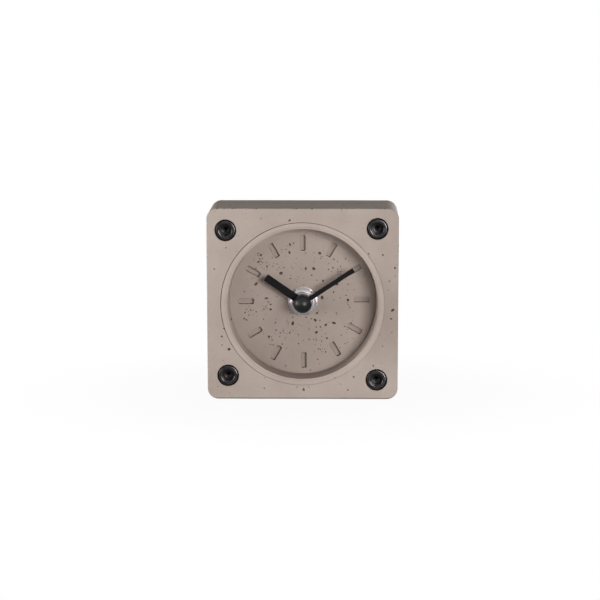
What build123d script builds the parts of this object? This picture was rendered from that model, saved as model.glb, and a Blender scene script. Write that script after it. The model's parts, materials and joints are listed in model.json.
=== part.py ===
from build123d import *
import math
import os

# A small table clock: a square block of cast concrete with a round sunk dial, four socket screws
# that clamp a rear cover, two bar hands and a quartz movement with its whole gear train.
# Millimetres, +Z up, the front looks along -Y, the origin is the middle of the base.
# Depths are counted from the front face of the block towards its back.

# General fits
running_clearance = 0.02
hand_tube_clearance = 0.03
end_shake = 0.06
overrun = 1.0

# Battery, a standard cell that sets the size of the movement
battery_diameter = 14.5
battery_length = 50.5
battery_nub_radius = 2.75
battery_nub_height = 1.3
battery_edge_chamfer = 0.6
contact_space = 1.25
contact_thickness = 0.4
contact_width = 4.0
contact_tip_radius = 2.0
contact_base_radius = 3.2
contact_top_gap = 3.0

# Quartz movement housing
shell_wall = 1.5
shell_corner_radius = 2.0
shell_rim_height = 8.2
bay_wall = 1.2
bay_clearance = 0.25
bay_notch = 0.6
post_radius = 1.1
pivot_depth = 0.8
housing_gap = 0.6
clip_width = 6.0
clip_thickness = 0.5
clip_root = 3.0
clip_reach = 4.0
clip_level = 12.0
clip_frame = 1.2
clip_clearance = 0.1

# Casing
cavity_clearance = 0.75
cavity_corner_radius = 4.0
case_wall = 11.25
corner_radius = 4.5
edge_radius = 0.6
rim_margin = 5.7
rim_width = 2.85
rim_height = 0.4
rim_edge_chamfer = 0.15
rim_lip_radius = 1.1
recess_depth = 10.0
recess_draft = 0.5
dial_thickness = 5.0
marker_count = 12
marker_length = 6.7
marker_width = 2.3
marker_depth = 0.5
marker_wall_gap = 3.25
rear_space = 3.2

# Rear cover
cover_thickness = 5.0
cover_clearance = 0.15
cover_chamfer = 0.3
nut_wall = 0.6
window_lip = 1.75
window_corner_radius = 6.0

# Clamping screws and nuts
screw_inset = 2.5
screw_cast_shift = 1.0
screw_shift_shares = ((-0.80, -0.45), (-0.20, 0.25), (0.15, 1.20), (-0.45, -0.55))
screw_radius = 2.5
screw_hole_clearance = 0.25
screw_head_radius = 4.25
screw_head_height = 5.0
screw_head_chamfer = 0.35
screw_head_sink = 0.3
screw_end_gap = 0.2
socket_width = 4.0
socket_depth = 2.5
counterbore_clearance = 0.25
nut_width = 8.0
nut_height = 4.0
nut_pocket_clearance = 0.1

# Dial fixing
bush_radius = 4.0
bush_hole_clearance = 0.3
bush_flange_radius = 5.2
bush_flange_height = 0.8
bush_proud = 0.5
washer_radius = 6.15
washer_thickness = 0.8
washer_clearance = 0.15
bush_nut_width = 10.0
bush_nut_height = 2.5
bush_nut_chamfer = 0.35
gasket_radius = 11.0
gasket_thickness = 0.8

# Hands
minute_hand_angle = 56.5
minutes_shown = minute_hand_angle / 6
hour_hand_angle = 300 + minutes_shown / 2
minute_hand_length = 25.4
minute_hand_width = 1.9
minute_hand_thickness = 0.5
minute_eye_radius = 2.75
hour_hand_length = 18.8
hour_hand_width = 3.2
hour_hand_thickness = 0.6
hour_eye_radius = 3.5
hour_hand_gap = 1.0
hand_gap = 1.2
minute_arbor_radius = 1.6
hour_tube_wall = 0.87
cap_radius = 3.85
cap_seat = 1.9
cap_thread_radius = 1.25
cap_thread_length = 2.5
cap_bore_depth = 2.8

# Gear teeth: trapezoid teeth with play, heights and widths as shares of module and tooth spacing
tooth_top_share = 0.8
tooth_bottom_share = 1.1
tooth_tip_share = 0.22
tooth_root_share = 0.50

# Motion work, which carries the turn of the minute hand to the hour hand
cannon_teeth = 12
transfer_teeth = 36
transfer_pinion_teeth = 10
hour_teeth = 40
setting_teeth = 12
motion_module = 0.35
transfer_angle = 150
setting_angle = 90

# Going train from the motor to the centre wheel
centre_teeth = 64
third_teeth = 60
third_pinion_teeth = 8
fourth_teeth = 48
fourth_pinion_teeth = 8
fifth_teeth = 50
fifth_pinion_teeth = 8
rotor_pinion_teeth = 10
centre_module = 0.23
third_module = 0.20
fourth_module = 0.20
fifth_module = 0.18
third_angle = 30
fourth_angle = 90
fifth_angle = -10
rotor_angle = -30
wheel_thickness = 0.8
layer_gap = 0.6
pinion_overhang = 0.3
arbor_radius = 0.5
pivot_radius = 0.35
centre_arbor_radius = 1.2
centre_pivot_radius = 0.6
setting_arbor_radius = 1.5
hour_hub_radius = 3.4
friction_spring_radius = 1.9

# Setting knob
knob_radius = 6.0
knob_height = 4.0
knob_gap = 0.4
knob_flute_count = 16
knob_flute_radius = 0.8
knob_edge_chamfer = 0.5

# Stepping motor and circuit
magnet_radius = 2.5
magnet_height = 2.4
stator_thickness = 1.0
stator_bore_gap = 0.4
stator_arm = 2.8
stator_foot = 3.4
stator_arbor_gap = 0.5
coil_core_width = 3.0
coil_core_thickness = 1.0
coil_gap = 0.6
coil_side_gap = 0.4
bobbin_wall = 0.5
bobbin_flange = 1.8
bobbin_flange_thickness = 0.8
winding_gap = 0.4
coil_span = 20.2
coil_pin_radius = 0.4
board_thickness = 0.8
board_height = 8.0
board_edge_gap = 0.6
chip_width = 3.2
chip_height = 0.9
crystal_radius = 1.0
crystal_length = 6.0


def from_axis(axis, distance, direction):
    """A point at a distance from another, with the direction in degrees."""
    turn = math.radians(direction)
    return (axis[0] + distance * math.cos(turn), axis[1] + distance * math.sin(turn))


def meshed_turn(driver_teeth, driver_turn, direction, follower_teeth):
    """The turn in degrees that sets a tooth gap of the follower on a tooth of its driver."""
    ahead = (driver_turn - direction) * driver_teeth / 360
    return direction + 180 + 360 / follower_teeth * (1 / 2 - ahead)


def gear_outline(axis, teeth, module, turn):
    """Corner points of a toothed disc, four to a tooth."""
    pitch_radius = teeth * module / 2
    tip_radius = pitch_radius + tooth_top_share * module
    root_radius = pitch_radius - tooth_bottom_share * module
    tip_half = math.degrees(tooth_tip_share * math.pi * module / 2 / tip_radius)
    root_half = math.degrees(tooth_root_share * math.pi * module / 2 / root_radius)
    points = []
    for tooth in range(teeth):
        middle = turn + 360 * tooth / teeth
        points.append(from_axis(axis, root_radius, middle - root_half))
        points.append(from_axis(axis, tip_radius, middle - tip_half))
        points.append(from_axis(axis, tip_radius, middle + tip_half))
        points.append(from_axis(axis, root_radius, middle + root_half))
    return points


# The hour wheel shares the centre distance of the motion work, which sets its module
motion_distance = (cannon_teeth + transfer_teeth) * motion_module / 2
hour_module = 2 * motion_distance / (transfer_pinion_teeth + hour_teeth)

# Where the arbors stand, across and up from the hand axis
hand_axis = (0, 0)
transfer_axis = from_axis(hand_axis, motion_distance, transfer_angle)
setting_distance = (transfer_teeth + setting_teeth) * motion_module / 2
setting_axis = from_axis(transfer_axis, setting_distance, setting_angle)
third_distance = (centre_teeth + third_pinion_teeth) * centre_module / 2
third_axis = from_axis(hand_axis, third_distance, third_angle)
fourth_distance = (third_teeth + fourth_pinion_teeth) * third_module / 2
fourth_axis = from_axis(third_axis, fourth_distance, fourth_angle)
fifth_distance = (fourth_teeth + fifth_pinion_teeth) * fourth_module / 2
fifth_axis = from_axis(fourth_axis, fifth_distance, fifth_angle)
rotor_distance = (fifth_teeth + rotor_pinion_teeth) * fifth_module / 2
rotor_axis = from_axis(fifth_axis, rotor_distance, rotor_angle)

# Motor iron: the rotor bore, two arms and the feet under the coil core
stator_bore_radius = magnet_radius + stator_bore_gap
stator_reach = stator_bore_radius + stator_foot
stator_right = rotor_axis[0] + stator_reach
stator_left = rotor_axis[0] - stator_reach
stator_bottom = rotor_axis[1] - stator_reach + stator_arm / 2
stator_shelf = rotor_axis[1] + stator_reach - stator_arm / 2
tube_width = coil_core_width + 2 * bobbin_wall
tube_depth = coil_core_thickness + 2 * bobbin_wall
flange_width = tube_width + 2 * bobbin_flange
flange_depth = tube_depth + 2 * bobbin_flange
arm_top = stator_shelf + stator_arm
fourth_rim = fourth_axis[1] + (fourth_teeth / 2 + tooth_top_share) * fourth_module
coil_axis_height = max(arm_top, fourth_rim) + coil_gap + flange_width / 2
foot_top = coil_axis_height + coil_core_width / 2
foot_left = stator_right - coil_span
coil_start = foot_left + stator_arm + coil_side_gap
coil_end = stator_right - stator_arm - coil_side_gap
coil_length = coil_end - coil_start
post_places = [
    (foot_left + stator_arm / 2, arm_top - stator_arm / 2),
    (stator_right - stator_arm / 2, stator_shelf + stator_arm),
]
coil_top = coil_axis_height + flange_width / 2

# The housing holds the cell with its contacts, the motor, and the wheels above the battery bay
bay_height = battery_diameter + 2 * bay_clearance
wheel_reach = (centre_teeth / 2 + tooth_top_share) * centre_module
inner_half_width = max(
    battery_length / 2 + contact_space,
    stator_right + housing_gap,
    coil_top + housing_gap,
    bay_height + bay_wall + housing_gap + wheel_reach,
)
inner_width = 2 * inner_half_width

# Each mesh turns in its own layer, and the housing is as deep as the cell, the layers or the coil need
layer_step = wheel_thickness + layer_gap
train_depth = layer_gap + 6 * layer_step + pinion_overhang
coil_depth = layer_gap + 2 * layer_step + stator_thickness + (coil_core_thickness + flange_depth) / 2
inner_depth = max(
    battery_diameter - shell_wall,
    train_depth,
    coil_depth + coil_gap + board_thickness,
)

# Sizes that follow from the values above
cell_radius = battery_diameter / 2
movement_width = inner_width + 2 * shell_wall
movement_depth = inner_depth + 2 * shell_wall
cavity_width = movement_width + 2 * cavity_clearance
block_width = cavity_width + 2 * case_wall
dial_back = recess_depth + dial_thickness
movement_front = dial_back + gasket_thickness
movement_back = movement_front + movement_depth
inner_front = movement_front + shell_wall
inner_back = movement_back - shell_wall
shell_split = movement_front + shell_rim_height
cover_front = movement_back + rear_space
block_depth = cover_front + cover_thickness
front_y = -block_depth / 2
axis_height = block_width / 2

rim_outer_radius = block_width / 2 - rim_margin
recess_radius = rim_outer_radius - rim_width
marker_radius = recess_radius - recess_draft - marker_wall_gap - marker_length / 2

screw_reach = cavity_width / 2 + screw_inset
screw_corners = ((-1, 1), (1, 1), (-1, -1), (1, -1))
screw_places = [
    (
        side * screw_reach + across * screw_cast_shift,
        level * screw_reach + up * screw_cast_shift,
    )
    for (side, level), (across, up) in zip(screw_corners, screw_shift_shares)
]
screw_hole_radius = screw_radius + screw_hole_clearance
counterbore_radius = screw_head_radius + counterbore_clearance
nut_pocket_width = nut_width + 2 * nut_pocket_clearance
screw_farthest = max(abs(offset) for place in screw_places for offset in place)
cover_width = 2 * (screw_farthest + nut_pocket_width / math.sqrt(3) + nut_wall)
rebate_width = cover_width + 2 * cover_clearance
screw_shoulder = screw_head_sink + screw_head_height
screw_end = block_depth - screw_end_gap
nut_front = cover_front + cover_thickness - screw_end_gap - nut_height

washer_front = recess_depth - washer_thickness
bush_nut_front = washer_front - bush_nut_height
bush_front = bush_nut_front - bush_proud
hour_hand_back = bush_front - hour_hand_gap
hour_hand_front = hour_hand_back - hour_hand_thickness
minute_hand_back = hour_hand_front - hand_gap
minute_hand_front = minute_hand_back - minute_hand_thickness
cap_centre = minute_hand_front - cap_seat
hour_tube_bore_radius = minute_arbor_radius + hand_tube_clearance
hour_tube_radius = hour_tube_bore_radius + hour_tube_wall
bush_bore_radius = hour_tube_radius + hand_tube_clearance

# Depths of the layers, counted from the dial side
hour_layer = inner_front + layer_gap
motion_layer = hour_layer + layer_step
centre_layer = motion_layer + layer_step
third_layer = centre_layer + layer_step
fourth_layer = third_layer + layer_step
fifth_layer = fourth_layer + layer_step
pinion_height = wheel_thickness + 2 * pinion_overhang
arbor_span = inner_back - inner_front - 2 * end_shake


def face_plane(depth):
    """A plane across the hand axis that looks to the front, at a depth behind the front face."""
    return Plane(origin=(0, front_y + depth, axis_height), x_dir=(1, 0, 0), z_dir=(0, -1, 0))


def hand_plane(depth, angle):
    """The same plane with its X along a hand, which stands at an angle clockwise from twelve."""
    turn = math.radians(angle)
    along = (math.sin(turn), 0, math.cos(turn))
    return Plane(origin=(0, front_y + depth, axis_height), x_dir=along, z_dir=(0, -1, 0))


# A section through the hand axis, with radius across and depth along
section_plane = Plane(origin=(0, front_y, axis_height), x_dir=(1, 0, 0), z_dir=(0, 0, 1))
hand_axis_line = Axis((0, front_y, axis_height), (0, 1, 0))

# How far each wheel is turned so that every pair is in mesh at rest
cannon_turn = 90 - minute_hand_angle
transfer_turn = meshed_turn(cannon_teeth, cannon_turn, transfer_angle, transfer_teeth)
hour_turn = meshed_turn(transfer_pinion_teeth, transfer_turn, transfer_angle + 180, hour_teeth)
setting_turn = meshed_turn(transfer_teeth, transfer_turn, setting_angle, setting_teeth)
centre_turn = 0
third_turn = meshed_turn(centre_teeth, centre_turn, third_angle, third_pinion_teeth)
fourth_turn = meshed_turn(third_teeth, third_turn, fourth_angle, fourth_pinion_teeth)
fifth_turn = meshed_turn(fourth_teeth, fourth_turn, fifth_angle, fifth_pinion_teeth)
rotor_turn = meshed_turn(fifth_teeth, fifth_turn, rotor_angle, rotor_pinion_teeth)

os.makedirs("parts", exist_ok=True)

# Casing: one casting with a raised rim round the sunk dial and a cavity for the movement behind it
with BuildPart() as casing:
    with BuildSketch(face_plane(block_depth)):
        RectangleRounded(block_width, block_width, corner_radius)
    extrude(amount=block_depth)
    outline_edges = casing.faces().filter_by(Axis.Y).edges()
    fillet(outline_edges, radius=edge_radius)
    with BuildSketch(face_plane(recess_depth)):
        Circle(recess_radius)
    extrude(amount=recess_depth + overrun, mode=Mode.SUBTRACT)
    with BuildSketch(section_plane) as rim_section:
        with BuildLine():
            Polyline(
                (recess_radius - recess_draft, recess_depth),
                (rim_outer_radius, recess_depth),
                (rim_outer_radius, -rim_height),
                (recess_radius, -rim_height),
                close=True,
            )
        make_face()
        rim_top = rim_section.vertices().group_by(Axis.Y)[0].sort_by(Axis.X)
        fillet(rim_top[0], radius=rim_lip_radius)
        rim_corner = rim_section.vertices().sort_by(Axis.X).group_by(Axis.X)[-1].sort_by(Axis.Y)
        chamfer(rim_corner[0], length=rim_edge_chamfer)
    revolve(axis=hand_axis_line)
    with BuildSketch(face_plane(recess_depth)):
        with PolarLocations(marker_radius, marker_count):
            Rectangle(marker_length, marker_width)
    extrude(amount=-marker_depth, mode=Mode.SUBTRACT)
    with BuildSketch(face_plane(recess_depth)):
        Circle(bush_radius + bush_hole_clearance)
    extrude(amount=-dial_thickness - overrun, mode=Mode.SUBTRACT)
    with BuildSketch(face_plane(block_depth)):
        RectangleRounded(cavity_width, cavity_width, cavity_corner_radius)
    extrude(amount=block_depth - dial_back, mode=Mode.SUBTRACT)
    with BuildSketch(face_plane(block_depth)):
        RectangleRounded(rebate_width, rebate_width, corner_radius)
    extrude(amount=cover_thickness, mode=Mode.SUBTRACT)
    with Locations(face_plane(0)):
        with Locations(*screw_places):
            CounterBoreHole(screw_hole_radius, counterbore_radius, screw_shoulder, block_depth)
casing.part.label = "casing"
export_step(casing.part, "parts/casing.step")

# Rear cover in its rebate, with a window to the battery and the setting knob
window_width = cavity_width - 2 * window_lip
with BuildPart() as rear_cover:
    with BuildSketch(face_plane(block_depth)):
        RectangleRounded(cover_width, cover_width, corner_radius - cover_clearance)
    extrude(amount=cover_thickness)
    chamfer(rear_cover.faces().sort_by(Axis.Y)[-1].edges(), length=cover_chamfer)
    with BuildSketch(face_plane(block_depth)):
        RectangleRounded(window_width, window_width, window_corner_radius)
        with Locations(*screw_places):
            Circle(screw_hole_radius)
    extrude(amount=cover_thickness, mode=Mode.SUBTRACT)
    with BuildSketch(face_plane(nut_front)):
        with Locations(*screw_places):
            RegularPolygon(nut_pocket_width / 2, 6, major_radius=False, rotation=30)
    extrude(amount=-cover_thickness, mode=Mode.SUBTRACT)
rear_cover.part.label = "rear_cover"
export_step(rear_cover.part, "parts/rear_cover.step")

# Socket screws, four alike
with BuildPart() as clamp_screws:
    with BuildSketch(face_plane(screw_shoulder)):
        with Locations(*screw_places):
            Circle(screw_head_radius)
    extrude(amount=screw_head_height)
    chamfer(clamp_screws.faces().filter_by(Axis.Y).group_by(Axis.Y)[0].edges(), length=screw_head_chamfer)
    with BuildSketch(face_plane(screw_end)):
        with Locations(*screw_places):
            Circle(screw_radius)
    extrude(amount=screw_end - screw_shoulder)
    with BuildSketch(face_plane(screw_head_sink)):
        with Locations(*screw_places):
            RegularPolygon(socket_width / 2, 6, major_radius=False)
    extrude(amount=-socket_depth, mode=Mode.SUBTRACT)
clamp_screws.part.label = "clamp_screws"
export_step(clamp_screws.part, "parts/clamp_screws.step")

# Hexagon nuts in the pockets of the cover, four alike
with BuildPart() as clamp_nuts:
    with BuildSketch(face_plane(nut_front + nut_height)):
        with Locations(*screw_places):
            RegularPolygon(nut_width / 2, 6, major_radius=False, rotation=30)
            Circle(screw_radius, mode=Mode.SUBTRACT)
    extrude(amount=nut_height)
clamp_nuts.part.label = "clamp_nuts"
export_step(clamp_nuts.part, "parts/clamp_nuts.step")

# Washer and nut that hold the movement to the dial
with BuildPart() as dial_washer:
    with BuildSketch(face_plane(recess_depth)):
        Circle(washer_radius)
        Circle(bush_radius + washer_clearance, mode=Mode.SUBTRACT)
    extrude(amount=washer_thickness)
dial_washer.part.label = "dial_washer"
export_step(dial_washer.part, "parts/dial_washer.step")

with BuildPart() as bush_nut:
    with BuildSketch(face_plane(washer_front)):
        RegularPolygon(bush_nut_width / 2, 6, major_radius=False)
    extrude(amount=bush_nut_height)
    with BuildSketch(section_plane):
        with BuildLine():
            nut_corner = bush_nut_width / math.sqrt(3)
            Polyline(
                (0, washer_front),
                (nut_corner, washer_front),
                (nut_corner, bush_nut_front + bush_nut_chamfer),
                (nut_corner - 2 * bush_nut_chamfer, bush_nut_front),
                (0, bush_nut_front),
                close=True,
            )
        make_face()
    revolve(axis=hand_axis_line, mode=Mode.INTERSECT)
    with BuildSketch(face_plane(washer_front)):
        Circle(bush_radius)
    extrude(amount=bush_nut_height, mode=Mode.SUBTRACT)
bush_nut.part.label = "bush_nut"
export_step(bush_nut.part, "parts/bush_nut.step")

# Rubber ring between the dial wall and the movement
with BuildPart() as gasket:
    with BuildSketch(face_plane(movement_front)):
        Circle(gasket_radius)
        Circle(bush_radius + bush_hole_clearance, mode=Mode.SUBTRACT)
    extrude(amount=gasket_thickness)
gasket.part.label = "gasket"
export_step(gasket.part, "parts/gasket.step")

# Threaded bush with a flange let into the front shell
with BuildPart() as threaded_bush:
    with BuildSketch(face_plane(inner_front)):
        Circle(bush_radius)
    extrude(amount=inner_front - bush_front)
    with BuildSketch(face_plane(inner_front)):
        Circle(bush_flange_radius)
    extrude(amount=bush_flange_height)
    with BuildSketch(face_plane(inner_front)):
        Circle(bush_bore_radius)
    extrude(amount=inner_front - bush_front, mode=Mode.SUBTRACT)
threaded_bush.part.label = "threaded_bush"
export_step(threaded_bush.part, "parts/threaded_bush.step")

# Places inside the movement, across and up from the hand axis
bay_floor = -inner_width / 2
cell_axis_height = bay_floor + bay_clearance + cell_radius
bay_roof = cell_axis_height + cell_radius + bay_clearance
cell_depth = inner_front + cell_radius
board_top = inner_width / 2 - board_edge_gap
board_middle = board_top - board_height / 2
board_front = inner_back - board_thickness
board_width = inner_width - 2 * contact_thickness
stator_front = centre_layer
stator_back = stator_front + stator_thickness
core_back = stator_back + coil_core_thickness
core_middle = stator_back + coil_core_thickness / 2


def side_plane(across):
    """A plane across the coil and the battery that looks to +X, its X along depth and its Y up."""
    return Plane(origin=(across, front_y, axis_height), x_dir=(0, 1, 0), z_dir=(1, 0, 0))


# Snap clips on the sides of the housing: tongues of the rear shell over catches of the front shell
clip_across = movement_width / 2 + clip_thickness / 2
clip_places = [(side * clip_across, level * clip_level) for side, level in screw_corners]
clip_front = shell_split - clip_reach
clip_slot_front = clip_front + clip_frame
clip_slot_back = shell_split - clip_frame
clip_slot_width = clip_width - 2 * clip_frame

# Front shell of the movement, with bearings for the arbors and posts under the motor iron
front_bearings = [transfer_axis, setting_axis, third_axis, fourth_axis, fifth_axis, rotor_axis]
with BuildPart() as movement_front_shell:
    with BuildSketch(face_plane(shell_split)):
        RectangleRounded(movement_width, movement_width, shell_corner_radius)
    extrude(amount=shell_rim_height)
    with BuildSketch(face_plane(shell_split)):
        Rectangle(inner_width, inner_width)
    extrude(amount=shell_split - inner_front, mode=Mode.SUBTRACT)
    with BuildSketch(face_plane(inner_front)):
        Circle(bush_radius)
    extrude(amount=shell_wall, mode=Mode.SUBTRACT)
    with BuildSketch(face_plane(inner_front)):
        Circle(bush_flange_radius)
    extrude(amount=bush_flange_height, mode=Mode.SUBTRACT)
    with BuildSketch(face_plane(inner_front)):
        with Locations(*front_bearings):
            Circle(pivot_radius + running_clearance)
    extrude(amount=pivot_depth + end_shake, mode=Mode.SUBTRACT)
    with BuildSketch(face_plane(stator_front)):
        with Locations(*post_places):
            Circle(post_radius)
    extrude(amount=stator_front - inner_front)
    with BuildSketch(face_plane(clip_slot_back - clip_clearance)):
        with Locations(*clip_places):
            Rectangle(clip_thickness, clip_slot_width - 2 * clip_clearance)
    extrude(amount=clip_slot_back - clip_slot_front - 2 * clip_clearance)
movement_front_shell.part.label = "movement_front_shell"
export_step(movement_front_shell.part, "parts/movement_front_shell.step")

# Rear shell, with the open battery bay, its roof and the hole for the setting arbor
rear_bearings = [transfer_axis, third_axis, fourth_axis, fifth_axis, rotor_axis]
with BuildPart() as movement_rear_shell:
    with BuildSketch(face_plane(movement_back)):
        RectangleRounded(movement_width, movement_width, shell_corner_radius)
    extrude(amount=movement_back - shell_split)
    with BuildSketch(face_plane(inner_back)):
        Rectangle(inner_width, inner_width)
    extrude(amount=inner_back - shell_split, mode=Mode.SUBTRACT)
    with BuildSketch(face_plane(movement_back)):
        with Locations((0, bay_floor + bay_height / 2)):
            Rectangle(inner_width, bay_height)
    extrude(amount=shell_wall, mode=Mode.SUBTRACT)
    with BuildSketch(face_plane(inner_back)):
        with Locations((0, bay_roof + bay_wall / 2)):
            Rectangle(inner_width - 2 * bay_notch, bay_wall)
    extrude(amount=inner_back - inner_front)
    with BuildSketch(face_plane(inner_back)):
        with Locations(*rear_bearings):
            Circle(pivot_radius + running_clearance)
        with Locations(hand_axis):
            Circle(centre_pivot_radius + running_clearance)
    extrude(amount=-pivot_depth - end_shake, mode=Mode.SUBTRACT)
    with BuildSketch(face_plane(movement_back)):
        with Locations(setting_axis):
            Circle(setting_arbor_radius + running_clearance)
    extrude(amount=shell_wall, mode=Mode.SUBTRACT)
    with BuildSketch(face_plane(shell_split + clip_root)):
        with Locations(*clip_places):
            Rectangle(clip_thickness, clip_width)
    extrude(amount=clip_root + clip_reach)
    with BuildSketch(face_plane(clip_slot_back)):
        with Locations(*clip_places):
            Rectangle(clip_thickness, clip_slot_width)
    extrude(amount=clip_slot_back - clip_slot_front, mode=Mode.SUBTRACT)
movement_rear_shell.part.label = "movement_rear_shell"
export_step(movement_rear_shell.part, "parts/movement_rear_shell.step")

# Battery across the bottom of the movement, its plus end to the right as seen from the front
cell_start = -battery_length / 2
cell_shoulder = battery_length / 2 - battery_nub_height
with BuildPart() as battery:
    with BuildSketch(side_plane(cell_start)):
        with Locations((cell_depth, cell_axis_height)):
            Circle(cell_radius)
    extrude(amount=cell_shoulder - cell_start)
    chamfer(battery.edges().filter_by(GeomType.CIRCLE), length=battery_edge_chamfer)
    with BuildSketch(side_plane(cell_shoulder)):
        with Locations((cell_depth, cell_axis_height)):
            Circle(battery_nub_radius)
    extrude(amount=battery_nub_height)
battery.part.label = "battery"
export_step(battery.part, "parts/battery.step")

# Contact strips on the side walls, from the cell's ends up to the ends of the circuit board
strip_bottom = cell_axis_height - contact_width
strip_top = board_top - contact_top_gap
strip_height = strip_top - strip_bottom
strip_depth = inner_back - contact_width / 2
strip_face = inner_width / 2 - contact_thickness
with BuildPart() as contact_positive:
    with BuildSketch(side_plane(strip_face)):
        with Locations((strip_depth, strip_bottom + strip_height / 2)):
            Rectangle(contact_width, strip_height)
        with Locations((strip_depth - contact_width, cell_axis_height)):
            Rectangle(2 * contact_width, 2 * contact_width)
    extrude(amount=contact_thickness)
    with BuildSketch(side_plane(battery_length / 2)):
        with Locations((cell_depth, cell_axis_height)):
            Circle(contact_tip_radius)
    extrude(amount=strip_face - battery_length / 2)
contact_positive.part.label = "contact_positive"
export_step(contact_positive.part, "parts/contact_positive.step")

with BuildPart() as contact_negative:
    with BuildSketch(side_plane(-strip_face)):
        with Locations((strip_depth, strip_bottom + strip_height / 2)):
            Rectangle(contact_width, strip_height)
        with Locations((strip_depth - contact_width, cell_axis_height)):
            Rectangle(2 * contact_width, 2 * contact_width)
    extrude(amount=-contact_thickness)
    with BuildSketch(side_plane(-strip_face)):
        with Locations((cell_depth, cell_axis_height)):
            Circle(contact_base_radius)
    with BuildSketch(side_plane(cell_start)):
        with Locations((cell_depth, cell_axis_height)):
            Circle(contact_tip_radius)
    loft()
contact_negative.part.label = "contact_negative"
export_step(contact_negative.part, "parts/contact_negative.step")

# Circuit board on the rear shell, with its chip and crystal
with BuildPart() as circuit_board:
    with BuildSketch(face_plane(inner_back)):
        with Locations((0, board_middle)):
            Rectangle(board_width, board_height)
    extrude(amount=board_thickness)
circuit_board.part.label = "circuit_board"
export_step(circuit_board.part, "parts/circuit_board.step")

chip_across = setting_axis[0]
with BuildPart() as chip:
    with BuildSketch(face_plane(board_front)):
        with Locations((chip_across, board_middle)):
            Rectangle(chip_width, chip_width)
    extrude(amount=chip_height)
chip.part.label = "chip"
export_step(chip.part, "parts/chip.step")

crystal_across = chip_across - chip_width - crystal_length
with BuildPart() as crystal:
    with BuildSketch(side_plane(crystal_across)):
        with Locations((board_front - crystal_radius, board_middle)):
            Circle(crystal_radius)
    extrude(amount=crystal_length)
crystal.part.label = "crystal"
export_step(crystal.part, "parts/crystal.step")

# Stepping motor: flat iron with the rotor bore, core, bobbin, winding and two pins to the board
with BuildPart() as stator:
    with BuildSketch(face_plane(stator_back)):
        with BuildLine():
            Polyline(
                (stator_left, stator_bottom),
                (stator_right, stator_bottom),
                (stator_right, foot_top),
                (stator_right - stator_arm, foot_top),
                (stator_right - stator_arm, stator_shelf),
                (stator_left + stator_arm, stator_shelf),
                (stator_left + stator_arm, arm_top),
                (foot_left + stator_arm, arm_top),
                (foot_left + stator_arm, foot_top),
                (foot_left, foot_top),
                (foot_left, stator_shelf),
                (stator_left, stator_shelf),
                close=True,
            )
        make_face()
        with Locations(rotor_axis):
            Circle(stator_bore_radius, mode=Mode.SUBTRACT)
        with Locations(fifth_axis):
            Circle(arbor_radius + stator_arbor_gap, mode=Mode.SUBTRACT)
    extrude(amount=stator_thickness)
stator.part.label = "stator"
export_step(stator.part, "parts/stator.step")

with BuildPart() as coil_core:
    with BuildSketch(face_plane(core_back)):
        with Locations(((foot_left + stator_right) / 2, coil_axis_height)):
            Rectangle(coil_span, coil_core_width)
    extrude(amount=coil_core_thickness)
coil_core.part.label = "coil_core"
export_step(coil_core.part, "parts/coil_core.step")

with BuildPart() as coil_bobbin:
    with BuildSketch(side_plane(coil_start)):
        with Locations((core_middle, coil_axis_height)):
            Rectangle(tube_depth, tube_width)
    extrude(amount=coil_length)
    for flange_start in (coil_start, coil_end - bobbin_flange_thickness):
        with BuildSketch(side_plane(flange_start)):
            with Locations((core_middle, coil_axis_height)):
                Rectangle(flange_depth, flange_width)
        extrude(amount=bobbin_flange_thickness)
    with BuildSketch(side_plane(coil_start)):
        with Locations((core_middle, coil_axis_height)):
            Rectangle(coil_core_thickness, coil_core_width)
    extrude(amount=coil_length, mode=Mode.SUBTRACT)
coil_bobbin.part.label = "coil_bobbin"
export_step(coil_bobbin.part, "parts/coil_bobbin.step")

winding_rise = bobbin_flange - winding_gap
with BuildPart() as coil_winding:
    with BuildSketch(side_plane(coil_start + bobbin_flange_thickness)):
        with Locations((core_middle, coil_axis_height)):
            RectangleRounded(tube_depth + 2 * winding_rise, tube_width + 2 * winding_rise, winding_rise)
            Rectangle(tube_depth, tube_width, mode=Mode.SUBTRACT)
    extrude(amount=coil_length - 2 * bobbin_flange_thickness)
coil_winding.part.label = "coil_winding"
export_step(coil_winding.part, "parts/coil_winding.step")

flange_back = core_middle + flange_depth / 2
pin_places = [
    (coil_start + bobbin_flange_thickness / 2, board_middle),
    (coil_end - bobbin_flange_thickness / 2, board_middle),
]
with BuildPart() as coil_pins:
    with BuildSketch(face_plane(board_front)):
        with Locations(*pin_places):
            Circle(coil_pin_radius)
    extrude(amount=board_front - flange_back)
coil_pins.part.label = "coil_pins"
export_step(coil_pins.part, "parts/coil_pins.step")

# Rotor: a magnet on the arbor of the first pinion
with BuildPart() as rotor_pinion:
    with BuildSketch(face_plane(fifth_layer + wheel_thickness + pinion_overhang)):
        with BuildLine():
            Polyline(*gear_outline(rotor_axis, rotor_pinion_teeth, fifth_module, rotor_turn), close=True)
        make_face()
    extrude(amount=pinion_height)
    with BuildSketch(face_plane(inner_back - end_shake)):
        with Locations(rotor_axis):
            Circle(arbor_radius)
    extrude(amount=arbor_span)
    with BuildSketch(face_plane(inner_back + pivot_depth)):
        with Locations(rotor_axis):
            Circle(pivot_radius)
    extrude(amount=inner_back - inner_front + 2 * pivot_depth)
rotor_pinion.part.label = "rotor_pinion"
export_step(rotor_pinion.part, "parts/rotor_pinion.step")

magnet_back = stator_front + stator_thickness / 2 + magnet_height / 2
with BuildPart() as rotor_magnet:
    with BuildSketch(face_plane(magnet_back)):
        with Locations(rotor_axis):
            Circle(magnet_radius)
            Circle(arbor_radius, mode=Mode.SUBTRACT)
    extrude(amount=magnet_height)
rotor_magnet.part.label = "rotor_magnet"
export_step(rotor_magnet.part, "parts/rotor_magnet.step")

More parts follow.
